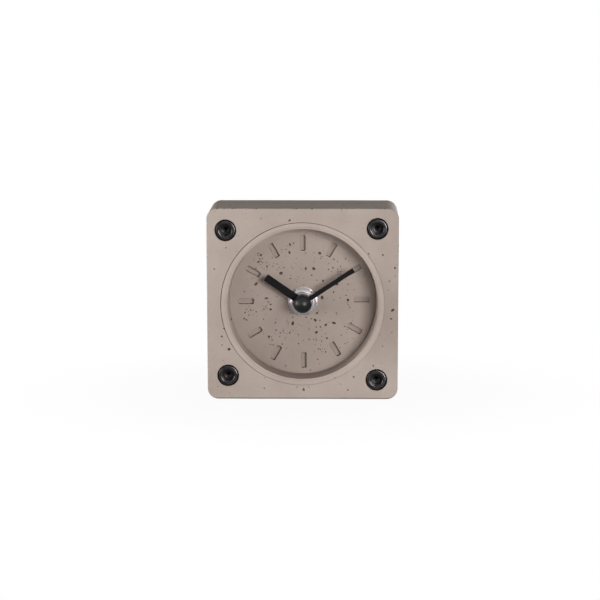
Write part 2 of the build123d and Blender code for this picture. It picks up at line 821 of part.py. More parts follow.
# Fifth wheel, driven by the rotor
with BuildPart() as fifth_wheel:
    with BuildSketch(face_plane(fifth_layer + wheel_thickness)):
        with BuildLine():
            Polyline(*gear_outline(fifth_axis, fifth_teeth, fifth_module, fifth_turn), close=True)
        make_face()
    extrude(amount=wheel_thickness)
    with BuildSketch(face_plane(fourth_layer + wheel_thickness + pinion_overhang)):
        with BuildLine():
            Polyline(*gear_outline(fifth_axis, fifth_pinion_teeth, fourth_module, fifth_turn), close=True)
        make_face()
    extrude(amount=pinion_height)
    with BuildSketch(face_plane(inner_back - end_shake)):
        with Locations(fifth_axis):
            Circle(arbor_radius)
    extrude(amount=arbor_span)
    with BuildSketch(face_plane(inner_back + pivot_depth)):
        with Locations(fifth_axis):
            Circle(pivot_radius)
    extrude(amount=inner_back - inner_front + 2 * pivot_depth)
fifth_wheel.part.label = "fifth_wheel"
export_step(fifth_wheel.part, "parts/fifth_wheel.step")

# Fourth wheel, one turn a minute
with BuildPart() as fourth_wheel:
    with BuildSketch(face_plane(fourth_layer + wheel_thickness)):
        with BuildLine():
            Polyline(*gear_outline(fourth_axis, fourth_teeth, fourth_module, fourth_turn), close=True)
        make_face()
    extrude(amount=wheel_thickness)
    with BuildSketch(face_plane(third_layer + wheel_thickness + pinion_overhang)):
        with BuildLine():
            Polyline(*gear_outline(fourth_axis, fourth_pinion_teeth, third_module, fourth_turn), close=True)
        make_face()
    extrude(amount=pinion_height)
    with BuildSketch(face_plane(inner_back - end_shake)):
        with Locations(fourth_axis):
            Circle(arbor_radius)
    extrude(amount=arbor_span)
    with BuildSketch(face_plane(inner_back + pivot_depth)):
        with Locations(fourth_axis):
            Circle(pivot_radius)
    extrude(amount=inner_back - inner_front + 2 * pivot_depth)
fourth_wheel.part.label = "fourth_wheel"
export_step(fourth_wheel.part, "parts/fourth_wheel.step")

# Third wheel, between the fourth wheel and the centre wheel
with BuildPart() as third_wheel:
    with BuildSketch(face_plane(third_layer + wheel_thickness)):
        with BuildLine():
            Polyline(*gear_outline(third_axis, third_teeth, third_module, third_turn), close=True)
        make_face()
    extrude(amount=wheel_thickness)
    with BuildSketch(face_plane(centre_layer + wheel_thickness + pinion_overhang)):
        with BuildLine():
            Polyline(*gear_outline(third_axis, third_pinion_teeth, centre_module, third_turn), close=True)
        make_face()
    extrude(amount=pinion_height)
    with BuildSketch(face_plane(inner_back - end_shake)):
        with Locations(third_axis):
            Circle(arbor_radius)
    extrude(amount=arbor_span)
    with BuildSketch(face_plane(inner_back + pivot_depth)):
        with Locations(third_axis):
            Circle(pivot_radius)
    extrude(amount=inner_back - inner_front + 2 * pivot_depth)
third_wheel.part.label = "third_wheel"
export_step(third_wheel.part, "parts/third_wheel.step")

# Centre wheel, one turn an hour, held on the minute arbor by friction alone so that the hands can be set
with BuildPart() as centre_wheel:
    with BuildSketch(face_plane(centre_layer + wheel_thickness)):
        with BuildLine():
            Polyline(*gear_outline(hand_axis, centre_teeth, centre_module, centre_turn), close=True)
        make_face()
        Circle(centre_arbor_radius + running_clearance, mode=Mode.SUBTRACT)
    extrude(amount=wheel_thickness)
centre_wheel.part.label = "centre_wheel"
export_step(centre_wheel.part, "parts/centre_wheel.step")

# Spring ring of that friction clutch, between the cannon pinion and the centre wheel
cannon_back = motion_layer + wheel_thickness + pinion_overhang
with BuildPart() as friction_spring:
    with BuildSketch(face_plane(centre_layer - end_shake)):
        Circle(friction_spring_radius)
        Circle(centre_arbor_radius, mode=Mode.SUBTRACT)
    extrude(amount=centre_layer - end_shake - cannon_back)
friction_spring.part.label = "friction_spring"
export_step(friction_spring.part, "parts/friction_spring.step")

# Minute arbor with the cannon pinion: it carries the minute hand at its front end
cannon_front = motion_layer - pinion_overhang
with BuildPart() as minute_arbor:
    with BuildSketch(face_plane(cannon_back)):
        with BuildLine():
            Polyline(*gear_outline(hand_axis, cannon_teeth, motion_module, cannon_turn), close=True)
        make_face()
    extrude(amount=pinion_height)
    with BuildSketch(face_plane(cannon_front)):
        Circle(minute_arbor_radius)
    extrude(amount=cannon_front - minute_hand_front)
    with BuildSketch(face_plane(minute_hand_front)):
        Circle(cap_thread_radius)
    extrude(amount=cap_thread_length)
    with BuildSketch(face_plane(inner_back - end_shake)):
        Circle(centre_arbor_radius)
    extrude(amount=inner_back - end_shake - cannon_back)
    with BuildSketch(face_plane(inner_back + pivot_depth)):
        Circle(centre_pivot_radius)
    extrude(amount=pivot_depth + end_shake)
minute_arbor.part.label = "minute_arbor"
export_step(minute_arbor.part, "parts/minute_arbor.step")

# Transfer wheel with its pinion
with BuildPart() as transfer_wheel:
    with BuildSketch(face_plane(motion_layer + wheel_thickness)):
        with BuildLine():
            Polyline(*gear_outline(transfer_axis, transfer_teeth, motion_module, transfer_turn), close=True)
        make_face()
    extrude(amount=wheel_thickness)
    with BuildSketch(face_plane(motion_layer)):
        with BuildLine():
            Polyline(
                *gear_outline(transfer_axis, transfer_pinion_teeth, hour_module, transfer_turn),
                close=True,
            )
        make_face()
    extrude(amount=motion_layer - hour_layer + pinion_overhang)
    with BuildSketch(face_plane(inner_back - end_shake)):
        with Locations(transfer_axis):
            Circle(arbor_radius)
    extrude(amount=arbor_span)
    with BuildSketch(face_plane(inner_back + pivot_depth)):
        with Locations(transfer_axis):
            Circle(pivot_radius)
    extrude(amount=inner_back - inner_front + 2 * pivot_depth)
transfer_wheel.part.label = "transfer_wheel"
export_step(transfer_wheel.part, "parts/transfer_wheel.step")

# Hour wheel with the tube that carries the hour hand
with BuildPart() as hour_wheel:
    with BuildSketch(face_plane(hour_layer + wheel_thickness)):
        with BuildLine():
            Polyline(*gear_outline(hand_axis, hour_teeth, hour_module, hour_turn), close=True)
        make_face()
    extrude(amount=wheel_thickness)
    with BuildSketch(face_plane(cannon_front - end_shake)):
        Circle(hour_hub_radius)
    extrude(amount=cannon_front - inner_front - 2 * end_shake)
    with BuildSketch(face_plane(hour_layer)):
        Circle(hour_tube_radius)
    extrude(amount=hour_layer - hour_hand_front)
    with BuildSketch(face_plane(cannon_front - end_shake)):
        Circle(hour_tube_bore_radius)
    extrude(amount=cannon_front - end_shake - hour_hand_front, mode=Mode.SUBTRACT)
hour_wheel.part.label = "hour_wheel"
export_step(hour_wheel.part, "parts/hour_wheel.step")

# Setting arbor, turned by the knob at the back and geared to the transfer wheel
knob_front = movement_back + knob_gap
with BuildPart() as setting_arbor:
    with BuildSketch(face_plane(motion_layer + wheel_thickness + pinion_overhang)):
        with BuildLine():
            Polyline(*gear_outline(setting_axis, setting_teeth, motion_module, setting_turn), close=True)
        make_face()
    extrude(amount=pinion_height)
    with BuildSketch(face_plane(knob_front + knob_height / 2)):
        with Locations(setting_axis):
            Circle(setting_arbor_radius)
    extrude(amount=knob_front + knob_height / 2 - motion_layer)
    with BuildSketch(face_plane(motion_layer)):
        with Locations(setting_axis):
            Circle(arbor_radius)
    extrude(amount=motion_layer - inner_front - end_shake)
    with BuildSketch(face_plane(inner_front + end_shake)):
        with Locations(setting_axis):
            Circle(pivot_radius)
    extrude(amount=pivot_depth + end_shake)
setting_arbor.part.label = "setting_arbor"
export_step(setting_arbor.part, "parts/setting_arbor.step")

with BuildPart() as setting_knob:
    with BuildSketch(face_plane(knob_front + knob_height)):
        with Locations(setting_axis):
            Circle(knob_radius)
    extrude(amount=knob_height)
    chamfer(setting_knob.edges().group_by(Axis.Y)[-1], length=knob_edge_chamfer)
    with BuildSketch(face_plane(knob_front + knob_height)):
        with Locations(setting_axis):
            with PolarLocations(knob_radius + knob_flute_radius / 2, knob_flute_count):
                Circle(knob_flute_radius)
    extrude(amount=knob_height, mode=Mode.SUBTRACT)
    with BuildSketch(face_plane(knob_front + knob_height / 2)):
        with Locations(setting_axis):
            Circle(setting_arbor_radius)
    extrude(amount=knob_height / 2, mode=Mode.SUBTRACT)
setting_knob.part.label = "setting_knob"
export_step(setting_knob.part, "parts/setting_knob.step")

# Hands and the round cap that holds the minute hand
with BuildPart() as hour_hand:
    with BuildSketch(hand_plane(hour_hand_back, hour_hand_angle)):
        Circle(hour_eye_radius)
        with Locations((hour_hand_length / 2, 0)):
            Rectangle(hour_hand_length, hour_hand_width)
        Circle(hour_tube_radius, mode=Mode.SUBTRACT)
    extrude(amount=hour_hand_thickness)
hour_hand.part.label = "hour_hand"
export_step(hour_hand.part, "parts/hour_hand.step")

with BuildPart() as minute_hand:
    with BuildSketch(hand_plane(minute_hand_back, minute_hand_angle)):
        Circle(minute_eye_radius)
        with Locations((minute_hand_length / 2, 0)):
            Rectangle(minute_hand_length, minute_hand_width)
        Circle(minute_arbor_radius, mode=Mode.SUBTRACT)
    extrude(amount=minute_hand_thickness)
minute_hand.part.label = "minute_hand"
export_step(minute_hand.part, "parts/minute_hand.step")

with BuildPart() as ball_cap:
    with Locations((0, front_y + cap_centre, axis_height)):
        Sphere(cap_radius)
    split(bisect_by=face_plane(minute_hand_front), keep=Keep.TOP)
    with BuildSketch(face_plane(minute_hand_front)):
        Circle(cap_thread_radius)
    extrude(amount=cap_bore_depth, mode=Mode.SUBTRACT)
ball_cap.part.label = "ball_cap"
export_step(ball_cap.part, "parts/ball_cap.step")

print("block", block_width, block_depth, "movement", movement_width, movement_depth)
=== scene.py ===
import json
import random
from math import acos, asin, cos, hypot, pi, radians, sin, sqrt, tan, tau

import bmesh
import bpy
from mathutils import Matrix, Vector, noise

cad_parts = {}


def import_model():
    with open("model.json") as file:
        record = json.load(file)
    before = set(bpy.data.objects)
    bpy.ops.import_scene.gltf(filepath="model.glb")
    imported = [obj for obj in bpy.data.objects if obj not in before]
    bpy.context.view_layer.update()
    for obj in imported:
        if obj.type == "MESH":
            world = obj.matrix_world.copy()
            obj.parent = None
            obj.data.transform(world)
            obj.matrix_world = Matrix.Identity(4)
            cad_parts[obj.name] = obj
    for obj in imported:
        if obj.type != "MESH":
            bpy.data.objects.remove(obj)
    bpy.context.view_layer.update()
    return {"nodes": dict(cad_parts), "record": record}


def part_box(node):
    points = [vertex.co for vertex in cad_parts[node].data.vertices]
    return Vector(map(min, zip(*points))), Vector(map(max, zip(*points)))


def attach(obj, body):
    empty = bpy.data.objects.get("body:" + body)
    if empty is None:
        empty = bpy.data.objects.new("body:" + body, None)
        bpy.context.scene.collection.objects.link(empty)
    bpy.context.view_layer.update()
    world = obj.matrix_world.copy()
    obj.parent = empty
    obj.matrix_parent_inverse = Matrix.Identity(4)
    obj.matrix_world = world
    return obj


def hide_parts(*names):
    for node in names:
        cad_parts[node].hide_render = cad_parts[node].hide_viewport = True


# A small table clock of cast concrete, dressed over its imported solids.
# Lengths are millimetres. A point is (across, depth, up): across and up are counted from the hand
# axis, depth from the front face of the block towards its back.

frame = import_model()

MM = 0.001


def span(node):
    """Lowest and highest corner of a solid, in millimetres of the row frame."""
    low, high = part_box(node)
    return low / MM, high / MM


# Where the front face and the hand axis are
RIM_HEIGHT = 0.4
casing_low, casing_high = span("casing")
BLOCK = casing_high.x - casing_low.x
HALF = BLOCK / 2
FRONT = casing_low.y + RIM_HEIGHT
DEPTH = casing_high.y - FRONT
AXIS = (casing_low.z + casing_high.z) / 2


def depth_span(node):
    """Front and back of a solid, counted from the front face."""
    low, high = span(node)
    return low.y - FRONT, high.y - FRONT


# Turned shapes: steps round, the radius at which an end closes, and how far a cutter reaches over
ROUND_STEPS = 180
TURN_STEPS = 96
HOLE_STEPS = 64
TIP = 0.02
OVERCUT = 1.0

# Casting
CORNER_RADIUS = 4.5
EDGE_RADIUS = 0.6
RIM_RADIUS = 33.95
LIP_RADIUS = 1.6
RECESS_RADIUS = 31.45
RECESS_DEPTH = 10.0
RECESS_DRAFT = 0.4
DIAL_BACK = 15.0
BUSH_HOLE = 4.3
CAVITY_HALF = 28.75
CAVITY_CORNER = 4.0
COVER_GAP = 0.15

# Marks of the dial. The section runs from above the dial to the foot, as (depth, growth)
MARKER_LENGTH = 6.5
MARKER_WIDTH = 2.3
MARKER_CORNER = 0.55
MARKER_RADIUS = 24.45
MARKER_SECTION = ((-0.6, 0.16), (-0.02, 0.08), (0.06, 0.0), (1.52, -0.10), (1.6, -0.18))
# How far each mark stands off its even place, from twelve o'clock on, as (across, up)
MARKER_SHIFTS = (
    (-0.1, 0.1), (-0.25, 0.6), (0.2, 1.0), (0.2, 0.75), (0.5, 0.7), (1.3, 1.0),
    (0.37, -0.55), (0.9, -0.7), (1.0, -1.0), (0.6, -0.1), (0.3, 0.3), (0.0, 0.2),
)

# Screws: places across and up, four alike, and how far each socket is turned
SCREW_PLACES = ((-32.05, 30.80), (31.05, 31.50), (-31.10, -30.05), (30.80, -31.80))
SOCKET_TURNS = (0.35, 0.12, 0.55, 0.25)
HEAD_RADIUS = 4.25
HEAD_HEIGHT = 5.0
SOCKET_APOTHEM = 2.0
SOCKET_DEPTH = 2.5
SHANK_RADIUS = 2.5
SHANK_HOLE = 2.75
COUNTERBORE_RADIUS = 4.5
COUNTERBORE_MOUTH = ((-1.0, 0.9), (-0.02, 0.28), (0.08, 0.10), (0.30, 0.0))

# Pinholes of the dial and of the face, read one by one, as (across, up)
DIAL_LARGE = (
    (7.0, 20.3), (4.5, 13.8), (-9.3, 11.8), (-19.8, 7.2), (8.0, 1.6), (-15.3, 1.2),
    (-4.3, -9.4), (5.1, -8.1), (9.6, -10.0), (13.0, -9.2), (5.6, -13.2), (-30.4, -7.8),
)
DIAL_MEDIUM = (
    (1.1, 13.8), (8.4, 8.6), (-15.1, 14.6), (9.5, 1.6), (-13.6, -3.5), (10.1, -15.6),
    (-14.3, -15.1), (5.8, -5.0), (18.8, 0.6), (14.3, 7.2), (-5.7, 20.6), (-5.5, 23.9),
    (-17.7, 19.5), (-18.7, 16.6),
)
DIAL_SMALL = (
    (-22.7, -5.9), (-22.0, -3.8), (-24.8, -7.4), (-23.7, -8.0), (-6.7, -8.5), (-11.6, -9.1),
    (-5.6, -13.5), (-9.5, -13.5), (-9.8, -15.0), (4.1, -4.4), (19.0, 7.2), (12.8, 3.9),
    (19.6, -2.6), (3.5, -7.4), (1.4, -6.8), (-7.0, 21.9), (-6.6, 19.6), (-4.0, 24.5),
    (-17.0, 18.1), (-15.2, 16.3), (-10.8, 15.7), (-8.0, 14.1), (-5.2, 9.6), (-24.6, 4.1),
    (7.4, 18.1), (12.9, 17.8), (17.8, 18.0), (15.8, 14.8), (10.7, 13.4), (3.2, -29.3),
    (6.2, -24.7), (6.5, -20.2), (5.6, -16.5), (2.6, -16.2), (16.1, -14.4), (17.7, -18.0),
    (9.5, -21.4), (-1.9, -18.0), (-7.3, -27.4), (-13.0, -16.5),
)
FACE_LARGE = ((37.4, -2.4), (-30.6, -19.0), (0.4, -35.9))
FACE_MEDIUM = (
    (36.8, -6.0), (38.3, 15.3), (33.3, 20.7), (27.4, 21.2), (-5.4, 35.0), (-33.7, -13.6),
    (21.3, -30.5),
)
FACE_SMALL = (
    (36.0, 9.7), (-17.2, 35.8), (-31.8, 23.6), (-36.7, 14.7), (-33.6, -17.2), (18.9, -36.0),
    (37.1, -11.8), (33.3, -17.5), (-32.7, -10.3), (29.5, -25.8), (-16.0, -35.4),
)
# Flocks of fine pinholes on the dial: (across, up, spread, count)
DIAL_CLUSTERS = (
    (-18.0, 17.7, 1.5, 12), (-7.2, 21.2, 1.6, 14), (-11.4, 15.0, 1.8, 9), (6.0, 19.0, 1.4, 7),
    (-22.4, -6.0, 1.8, 10), (-14.2, -3.4, 2.0, 7), (-5.8, -9.4, 2.0, 10), (6.0, -8.0, 2.6, 9),
    (5.4, -13.6, 2.4, 8), (-10.4, -14.6, 2.6, 10), (9.6, -18.6, 2.4, 7), (15.4, 14.2, 1.8, 6),
    (18.2, 1.4, 1.6, 6), (-2.0, 12.0, 3.0, 8),
)
PORE_LARGE = 0.58
PORE_MEDIUM = 0.42
PORE_SMALL = 0.27
PORE_FINE = 0.17
PORES_SEEN = (
    (DIAL_LARGE, PORE_LARGE), (DIAL_MEDIUM, PORE_MEDIUM), (DIAL_SMALL, PORE_SMALL),
    (FACE_LARGE, PORE_LARGE * 0.85), (FACE_MEDIUM, PORE_MEDIUM * 0.85), (FACE_SMALL, PORE_SMALL),
)
# Fine pinholes scattered over the dial, as (count, radius, reach), the face and each side
DIAL_SCATTER = ((60, PORE_FINE, 29.5), (46, PORE_FINE * 1.2, 24.0))
FACE_SCATTER = 70
SIDE_SCATTER = 34


# Points and loops


def world(point):
    """A point of the clock in metres of the row frame."""
    across, depth, up = point
    return Vector((across, FRONT + depth, AXIS + up)) * MM


def even_steps(start, end, count):
    """Numbers from start to end in equal steps, both ends among them."""
    return [start + (end - start) * step / count for step in range(count + 1)]


def polar(centre, reach, turn):
    """The place at a reach and an angle from a centre."""
    return centre[0] + reach * cos(turn), centre[1] + reach * sin(turn)


def hexagon(apothem, start):
    """Radius of a hexagonal row whose first corner stands at the start angle."""
    sixth = pi / 3
    return lambda turn: apothem / cos((turn - start) % sixth - sixth / 2)


def quarter_round(radius, steps):
    """A rounded edge as (inset, along), from the full inset to the full length."""
    turns = even_steps(0, pi / 2, steps)
    return [(radius * (1 - sin(turn)), radius * (1 - cos(turn))) for turn in turns]


def turned(rows, steps, centre=(0.0, 0.0), axis="depth"):
    """Loops of a turned piece. A row is a place along the axis and the radius there, all round."""
    loops = []
    for along, radius in rows:
        loop = []
        for step in range(steps):
            turn = tau * step / steps
            reach = radius(turn) if callable(radius) else radius
            first, second = polar(centre, reach, turn)
            loop.append((first, along, second) if axis == "depth" else (along, first, second))
        loops.append(loop)
    return loops


def square_loop(half, corner, depth, corner_steps=10, side_steps=1):
    """A rounded square across the hand axis, its points counted from the right side upwards."""
    reach = (half - corner) * sqrt(2)

    def corner_point(turn, bend):
        middle = turn + pi / 4
        across = reach * cos(middle) + corner * cos(bend)
        return across, depth, reach * sin(middle) + corner * sin(bend)

    points = []
    for quarter in range(4):
        turn = quarter * pi / 2
        for step in range(corner_steps + 1):
            points.append(corner_point(turn, turn + pi / 2 * step / corner_steps))
        start = points[-1]
        after = turn + pi / 2
        end = corner_point(after, after)
        for step in range(1, side_steps):
            share = step / side_steps
            points.append(tuple(a + (b - a) * share for a, b in zip(start, end)))
    return points


def skin(loops, closed=False):
    """Vertices and faces of the surface through equal loops, its ends capped unless closed."""
    count = len(loops[0])
    verts = [point for loop in loops for point in loop]
    faces = []
    pairs = len(loops) if closed else len(loops) - 1
    for pair in range(pairs):
        first = pair * count
        second = (pair + 1) % len(loops) * count
        for step in range(count):
            after = (step + 1) % count
            faces.append((first + step, first + after, second + after, second + step))
    if not closed:
        faces += [tuple(range(count))[::-1], tuple(range(len(verts) - count, len(verts)))]
    return verts, faces


def prism(outline, start, end):
    """A straight bar over an outline of (across, up), between two depths."""
    return skin([[(across, depth, up) for across, up in outline] for depth in (start, end)])


def joined(parts):
    """Several surfaces as one list of vertices and faces."""
    verts, faces = [], []
    for part_verts, part_faces in parts:
        start = len(verts)
        verts.extend(part_verts)
        faces.extend(tuple(start + index for index in face) for face in part_faces)
    return verts, faces


# Objects


def new_object(name, data):
    obj = bpy.data.objects.new(name, data)
    bpy.context.scene.collection.objects.link(obj)
    return obj


def mesh_object(name, surface, slots, index=0):
    """A mesh object in the row frame, with the faces of every shell turned outwards."""
    verts, faces = surface
    mesh = bpy.data.meshes.new(name)
    mesh.from_pydata([world(point) for point in verts], [], faces)
    for slot in slots:
        mesh.materials.append(finishes[slot])
    for polygon in mesh.polygons:
        polygon.material_index = index
    mesh.validate()
    work = bmesh.new()
    work.from_mesh(mesh)
    bmesh.ops.recalc_face_normals(work, faces=work.faces)
    work.to_mesh(mesh)
    work.free()
    return new_object(name, mesh)


def paint_wall_shading(obj, index, leftmost=-2.0, tilt=0.2):
    """Gives the walls along the hand axis the tone at an index, unless they look too far left; the tones
    given are painted light on the recess wall and painted shade elsewhere.
    """
    for polygon in obj.data.polygons:
        if abs(polygon.normal.y) < tilt and polygon.normal.x > leftmost:
            polygon.material_index = index


def smooth(obj, angle=32.0):
    """Smooth shading that keeps edges sharper than the angle."""
    for polygon in obj.data.polygons:
        polygon.use_smooth = True
    obj.data.set_sharp_from_angle(angle=radians(angle))
    weight = obj.modifiers.new("weighted_normal", "WEIGHTED_NORMAL")
    weight.keep_sharp = True


def soften(obj, width, angle=40.0):
    """Slightly broken edges."""
    bevel = obj.modifiers.new("bevel", "BEVEL")
    bevel.width = width * MM
    bevel.segments = 2
    bevel.limit_method = "ANGLE"
    bevel.angle_limit = radians(angle)
    bevel.harden_normals = True


def carve(target, tools, operation="DIFFERENCE"):
    """Cuts closed meshes out of the target, or adds them to it, and deletes them."""
    for tool in tools:
        cut = target.modifiers.new(tool.name, "BOOLEAN")
        cut.operation = operation
        cut.solver = "MANIFOLD"
        cut.object = tool
        depsgraph = bpy.context.evaluated_depsgraph_get()
        result = bpy.data.meshes.new_from_object(target.evaluated_get(depsgraph))
        target.modifiers.clear()
        old = target.data
        target.data = result
        bpy.data.meshes.remove(old)
        bpy.data.objects.remove(tool)


def piece(obj, body, slot, *replaced):
    """Hangs a piece under what it rides on and hides the solids it stands for. The slot is not used."""
    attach(obj, body)
    if replaced:
        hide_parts(*replaced)


def plain_piece(name, surface, body, slot, node, angle=32.0):
    """A piece of one finish that stands for a solid."""
    obj = mesh_object(name, surface, [slot])
    smooth(obj, angle)
    piece(obj, body, slot, node)


# Shader nodes


def colour(red, green, blue):
    """A display colour, 0 to 255, as the linear colour that shaders take."""
    linear = []
    for value in (red, green, blue):
        share = value / 255
        linear.append(share / 12.92 if share <= 0.04045 else ((share + 0.055) / 1.055) ** 2.4)
    return (*linear, 1.0)


def shifted(tone, factor, lift=0.0):
    """A linear colour made lighter or darker."""
    return tuple(min(1.0, value * factor + lift) for value in tone[:3]) + (1.0,)


def add(tree, kind, *sources, **values):
    """A new shader node, its first inputs linked to sockets and its named ones set to values."""
    made = tree.nodes.new("ShaderNode" + kind)
    for source, socket in zip(sources, made.inputs):
        tree.links.new(source, socket)
    for key, value in values.items():
        made.inputs[key].default_value = value
    return made


def ramp(tree, source, low, high, to_low=0.0, to_high=1.0, course="LINEAR"):
    """A socket's range from low to high, mapped to another range."""
    made = add(tree, "MapRange", source)
    made.interpolation_type = course
    for key, value in enumerate((low, high, to_low, to_high), 1):
        made.inputs[key].default_value = value
    return made.outputs[0]


def maths(tree, operation, first, second):
    made = add(tree, "Math", first, second)
    made.operation = operation
    return made.outputs[0]


def largest(tree, first, *others):
    """The largest of several sockets, or of kinds of ray, which are 0 or 1."""
    for other in others:
        first = maths(tree, "MAXIMUM", first, other)
    return first


finishes = {}


class Finish:
    """A material under construction: its main shader and the nodes that feed it."""

    def __init__(self, name, base, roughness, metallic=0.0, specular=0.5):
        self.material = bpy.data.materials.new(name)
        self.material.use_nodes = True
        finishes[name] = self.material
        self.tree = self.material.node_tree
        self.shader = self.tree.nodes["Principled BSDF"]
        self.shader.inputs["Base Color"].default_value = base
        self.shader.inputs["Roughness"].default_value = roughness
        self.shader.inputs["Metallic"].default_value = metallic
        self.shader.inputs["Specular IOR Level"].default_value = specular
        self.place = add(self.tree, "TexCoord").outputs["Object"]
        self.relief = None

    def feed(self, socket, source):
        self.tree.links.new(source, self.shader.inputs[socket])

    def stretched(self, scale):
        """Object coordinates, stretched by a factor for each direction."""
        return add(self.tree, "Mapping", self.place, Scale=scale).outputs["Vector"]

    def along(self, way):
        """The object coordinate along X, Y or Z, in metres."""
        return add(self.tree, "SeparateXYZ", self.place).outputs[way]

    def away(self, place):
        """Distance from a place of the row frame, in metres."""
        made = add(self.tree, "VectorMath", self.place)
        made.operation = "DISTANCE"
        made.inputs[1].default_value = place
        return made.outputs["Value"]

    def cloud(self, size, detail=3.0, rough=0.55, place=None):
        """Noise with patches of about the given size in millimetres."""
        place = place or self.place
        made = add(self.tree, "TexNoise", place, Scale=1 / (size * MM), Detail=detail, Roughness=rough)
        return made.outputs["Fac"]

    def ranged(self, source, *limits):
        return ramp(self.tree, source, *limits)

    def near(self, point, inner, outer, most):
        """A soft round patch: the most at its middle, nothing beyond the outer reach in millimetres."""
        return self.ranged(self.away(world(point)), inner * MM, outer * MM, most, 0.0, "SMOOTHSTEP")

    def mixed(self, factor, first, second):
        """Two colours mixed by a socket: each may be a colour or a socket."""
        made = add(self.tree, "Mix", factor)
        made.data_type = "RGBA"
        for socket, value in ((made.inputs[6], first), (made.inputs[7], second)):
            if hasattr(value, "is_output"):
                self.tree.links.new(value, socket)
            else:
                socket.default_value = value
        return made.outputs[2]

    def paint(self, factor, first, second):
        """The base colour: two colours mixed by a socket."""
        self.feed("Base Color", self.mixed(factor, first, second))

    def gloss(self, source, low, high):
        """Roughness that follows a noise between two values."""
        self.feed("Roughness", self.ranged(source, 0.3, 0.7, low, high))

    def bump(self, source, height, strength):
        """Relief of the given height in millimetres, on top of what is there."""
        made = add(self.tree, "Bump", Strength=strength, Distance=height * MM)
        self.tree.links.new(source, made.inputs["Height"])
        if self.relief:
            self.tree.links.new(self.relief, made.inputs["Normal"])
        self.relief = made.outputs["Normal"]
        self.feed("Normal", self.relief)


# Materials
FLECK = colour(104, 88, 79)
# Colour of the painted shade patches on the concrete
PAINTED_SHADE = colour(138, 125, 116)


def concrete(name, base, light, dark, shade=None, fade=None, fleck=0.95):
    """Fine cast concrete: soft clouds, sand grain, small dark flecks and a dry, slightly rough skin, with
    painted shade where a shade or fade is given.
    """
    base, light, dark = colour(*base), colour(*light), colour(*dark)
    made = Finish(name, base, 0.88, specular=0.22)
    broad = made.ranged(made.cloud(26.0, 4.0), 0.35, 0.68)
    patches = made.ranged(made.cloud(5.0, 5.0, 0.62), 0.34, 0.70)
    grain = made.cloud(0.75, 4.0, 0.6)
    tone = made.mixed(broad, dark, light)
    tone = made.mixed(made.ranged(patches, 0.0, 1.0, 0.0, 0.45), tone, base)
    tone = made.mixed(made.ranged(grain, 0.32, 0.72, 0.30, 0.0), tone, dark)
    flecks = add(made.tree, "TexVoronoi", made.place, Scale=1 / (fleck * MM))
    near = made.ranged(flecks.outputs["Distance"], 0.10, 0.20, 1.0, 0.0)
    chosen = add(made.tree, "SeparateColor", flecks.outputs["Color"])
    few = made.ranged(chosen.outputs[0], 0.86, 0.90, 0.0, 0.55)
    tone = made.mixed(maths(made.tree, "MULTIPLY", near, few), tone, FLECK)
    # A soft round patch of painted shade
    if shade:
        tone = made.mixed(made.near(*shade), tone, PAINTED_SHADE)
    # A straight fade of painted shade
    if fade:
        way, start, end, first, last, deep = fade
        share = made.ranged(made.along(way), start * MM, end * MM, first, last)
        tone = made.mixed(share, tone, deep)
    made.feed("Base Color", tone)
    made.gloss(grain, 0.80, 0.95)
    made.bump(patches, 0.05, 0.5)
    made.bump(grain, 0.06, 0.55)


def moulded(name, base, roughness, grain=0.35, relief=0.012, specular=0.45):
    """Moulded plastic with a fine spark-eroded grain."""
    base = colour(*base)
    made = Finish(name, base, roughness, specular=specular)
    fine = made.cloud(grain, 3.0, 0.6)
    soft = made.cloud(9.0, 2.0)
    made.paint(made.ranged(soft, 0.35, 0.7), base, shifted(base, 1.35, 0.003))
    made.gloss(fine, roughness - 0.07, roughness + 0.09)
    made.bump(fine, relief, 0.8)


def metal(name, base, roughness, stretch=(1.0, 1.0, 1.0), grain=0.5, spread=0.06, relief=0.004):
    """Bare or plated metal with fine drawing or turning marks."""
    base = colour(*base)
    made = Finish(name, base, roughness, metallic=1.0)
    marks = made.cloud(grain, 4.0, 0.65, made.stretched(stretch))
    tarnish = made.cloud(4.0, 3.0)
    made.paint(made.ranged(tarnish, 0.4, 0.75, 0.0, 0.6), base, shifted(base, 0.82))
    made.gloss(marks, max(0.02, roughness - spread), roughness + spread)
    if relief:
        made.bump(marks, relief, 0.6)


def black_oxide():
    """Blackened steel: dark metal with a slightly uneven sheen."""
    made = Finish("screw_black", colour(80, 77, 78), 0.22, metallic=1.0)
    blotches = made.cloud(1.6, 4.0, 0.6)
    made.paint(made.ranged(blotches, 0.35, 0.7), colour(72, 69, 70), colour(88, 85, 86))
    made.gloss(blotches, 0.17, 0.27)
    made.bump(made.cloud(0.3, 3.0), 0.006, 0.6)


def satin_black(name, base, roughness, specular):
    """Thin satin paint with a faint orange peel."""
    base = colour(*base)
    made = Finish(name, base, roughness, specular=specular)
    peel = made.cloud(0.6, 2.0)
    dust = made.cloud(3.0, 4.0, 0.6)
    made.paint(made.ranged(dust, 0.45, 0.75, 0.0, 0.8), base, shifted(base, 1.6, 0.002))
    made.gloss(dust, roughness - 0.04, roughness + 0.06)
    made.bump(peel, 0.004, 0.5)


def cell_sleeve(band_length=14.0, blur=0.05):
    """Plain shrink sleeve of a dry cell: dark body, a light band towards the plus end."""
    dark = colour(44, 46, 52)
    made = Finish("cell_sleeve", dark, 0.28)
    edge = span("battery")[1].x - band_length
    band = made.ranged(made.along("X"), (edge - blur) * MM, (edge + blur) * MM)
    worn = made.cloud(2.5, 4.0)
    body = made.mixed(made.ranged(worn, 0.4, 0.7), dark, colour(52, 54, 60))
    made.paint(band, body, colour(168, 170, 174))
    made.gloss(worn, 0.22, 0.36)


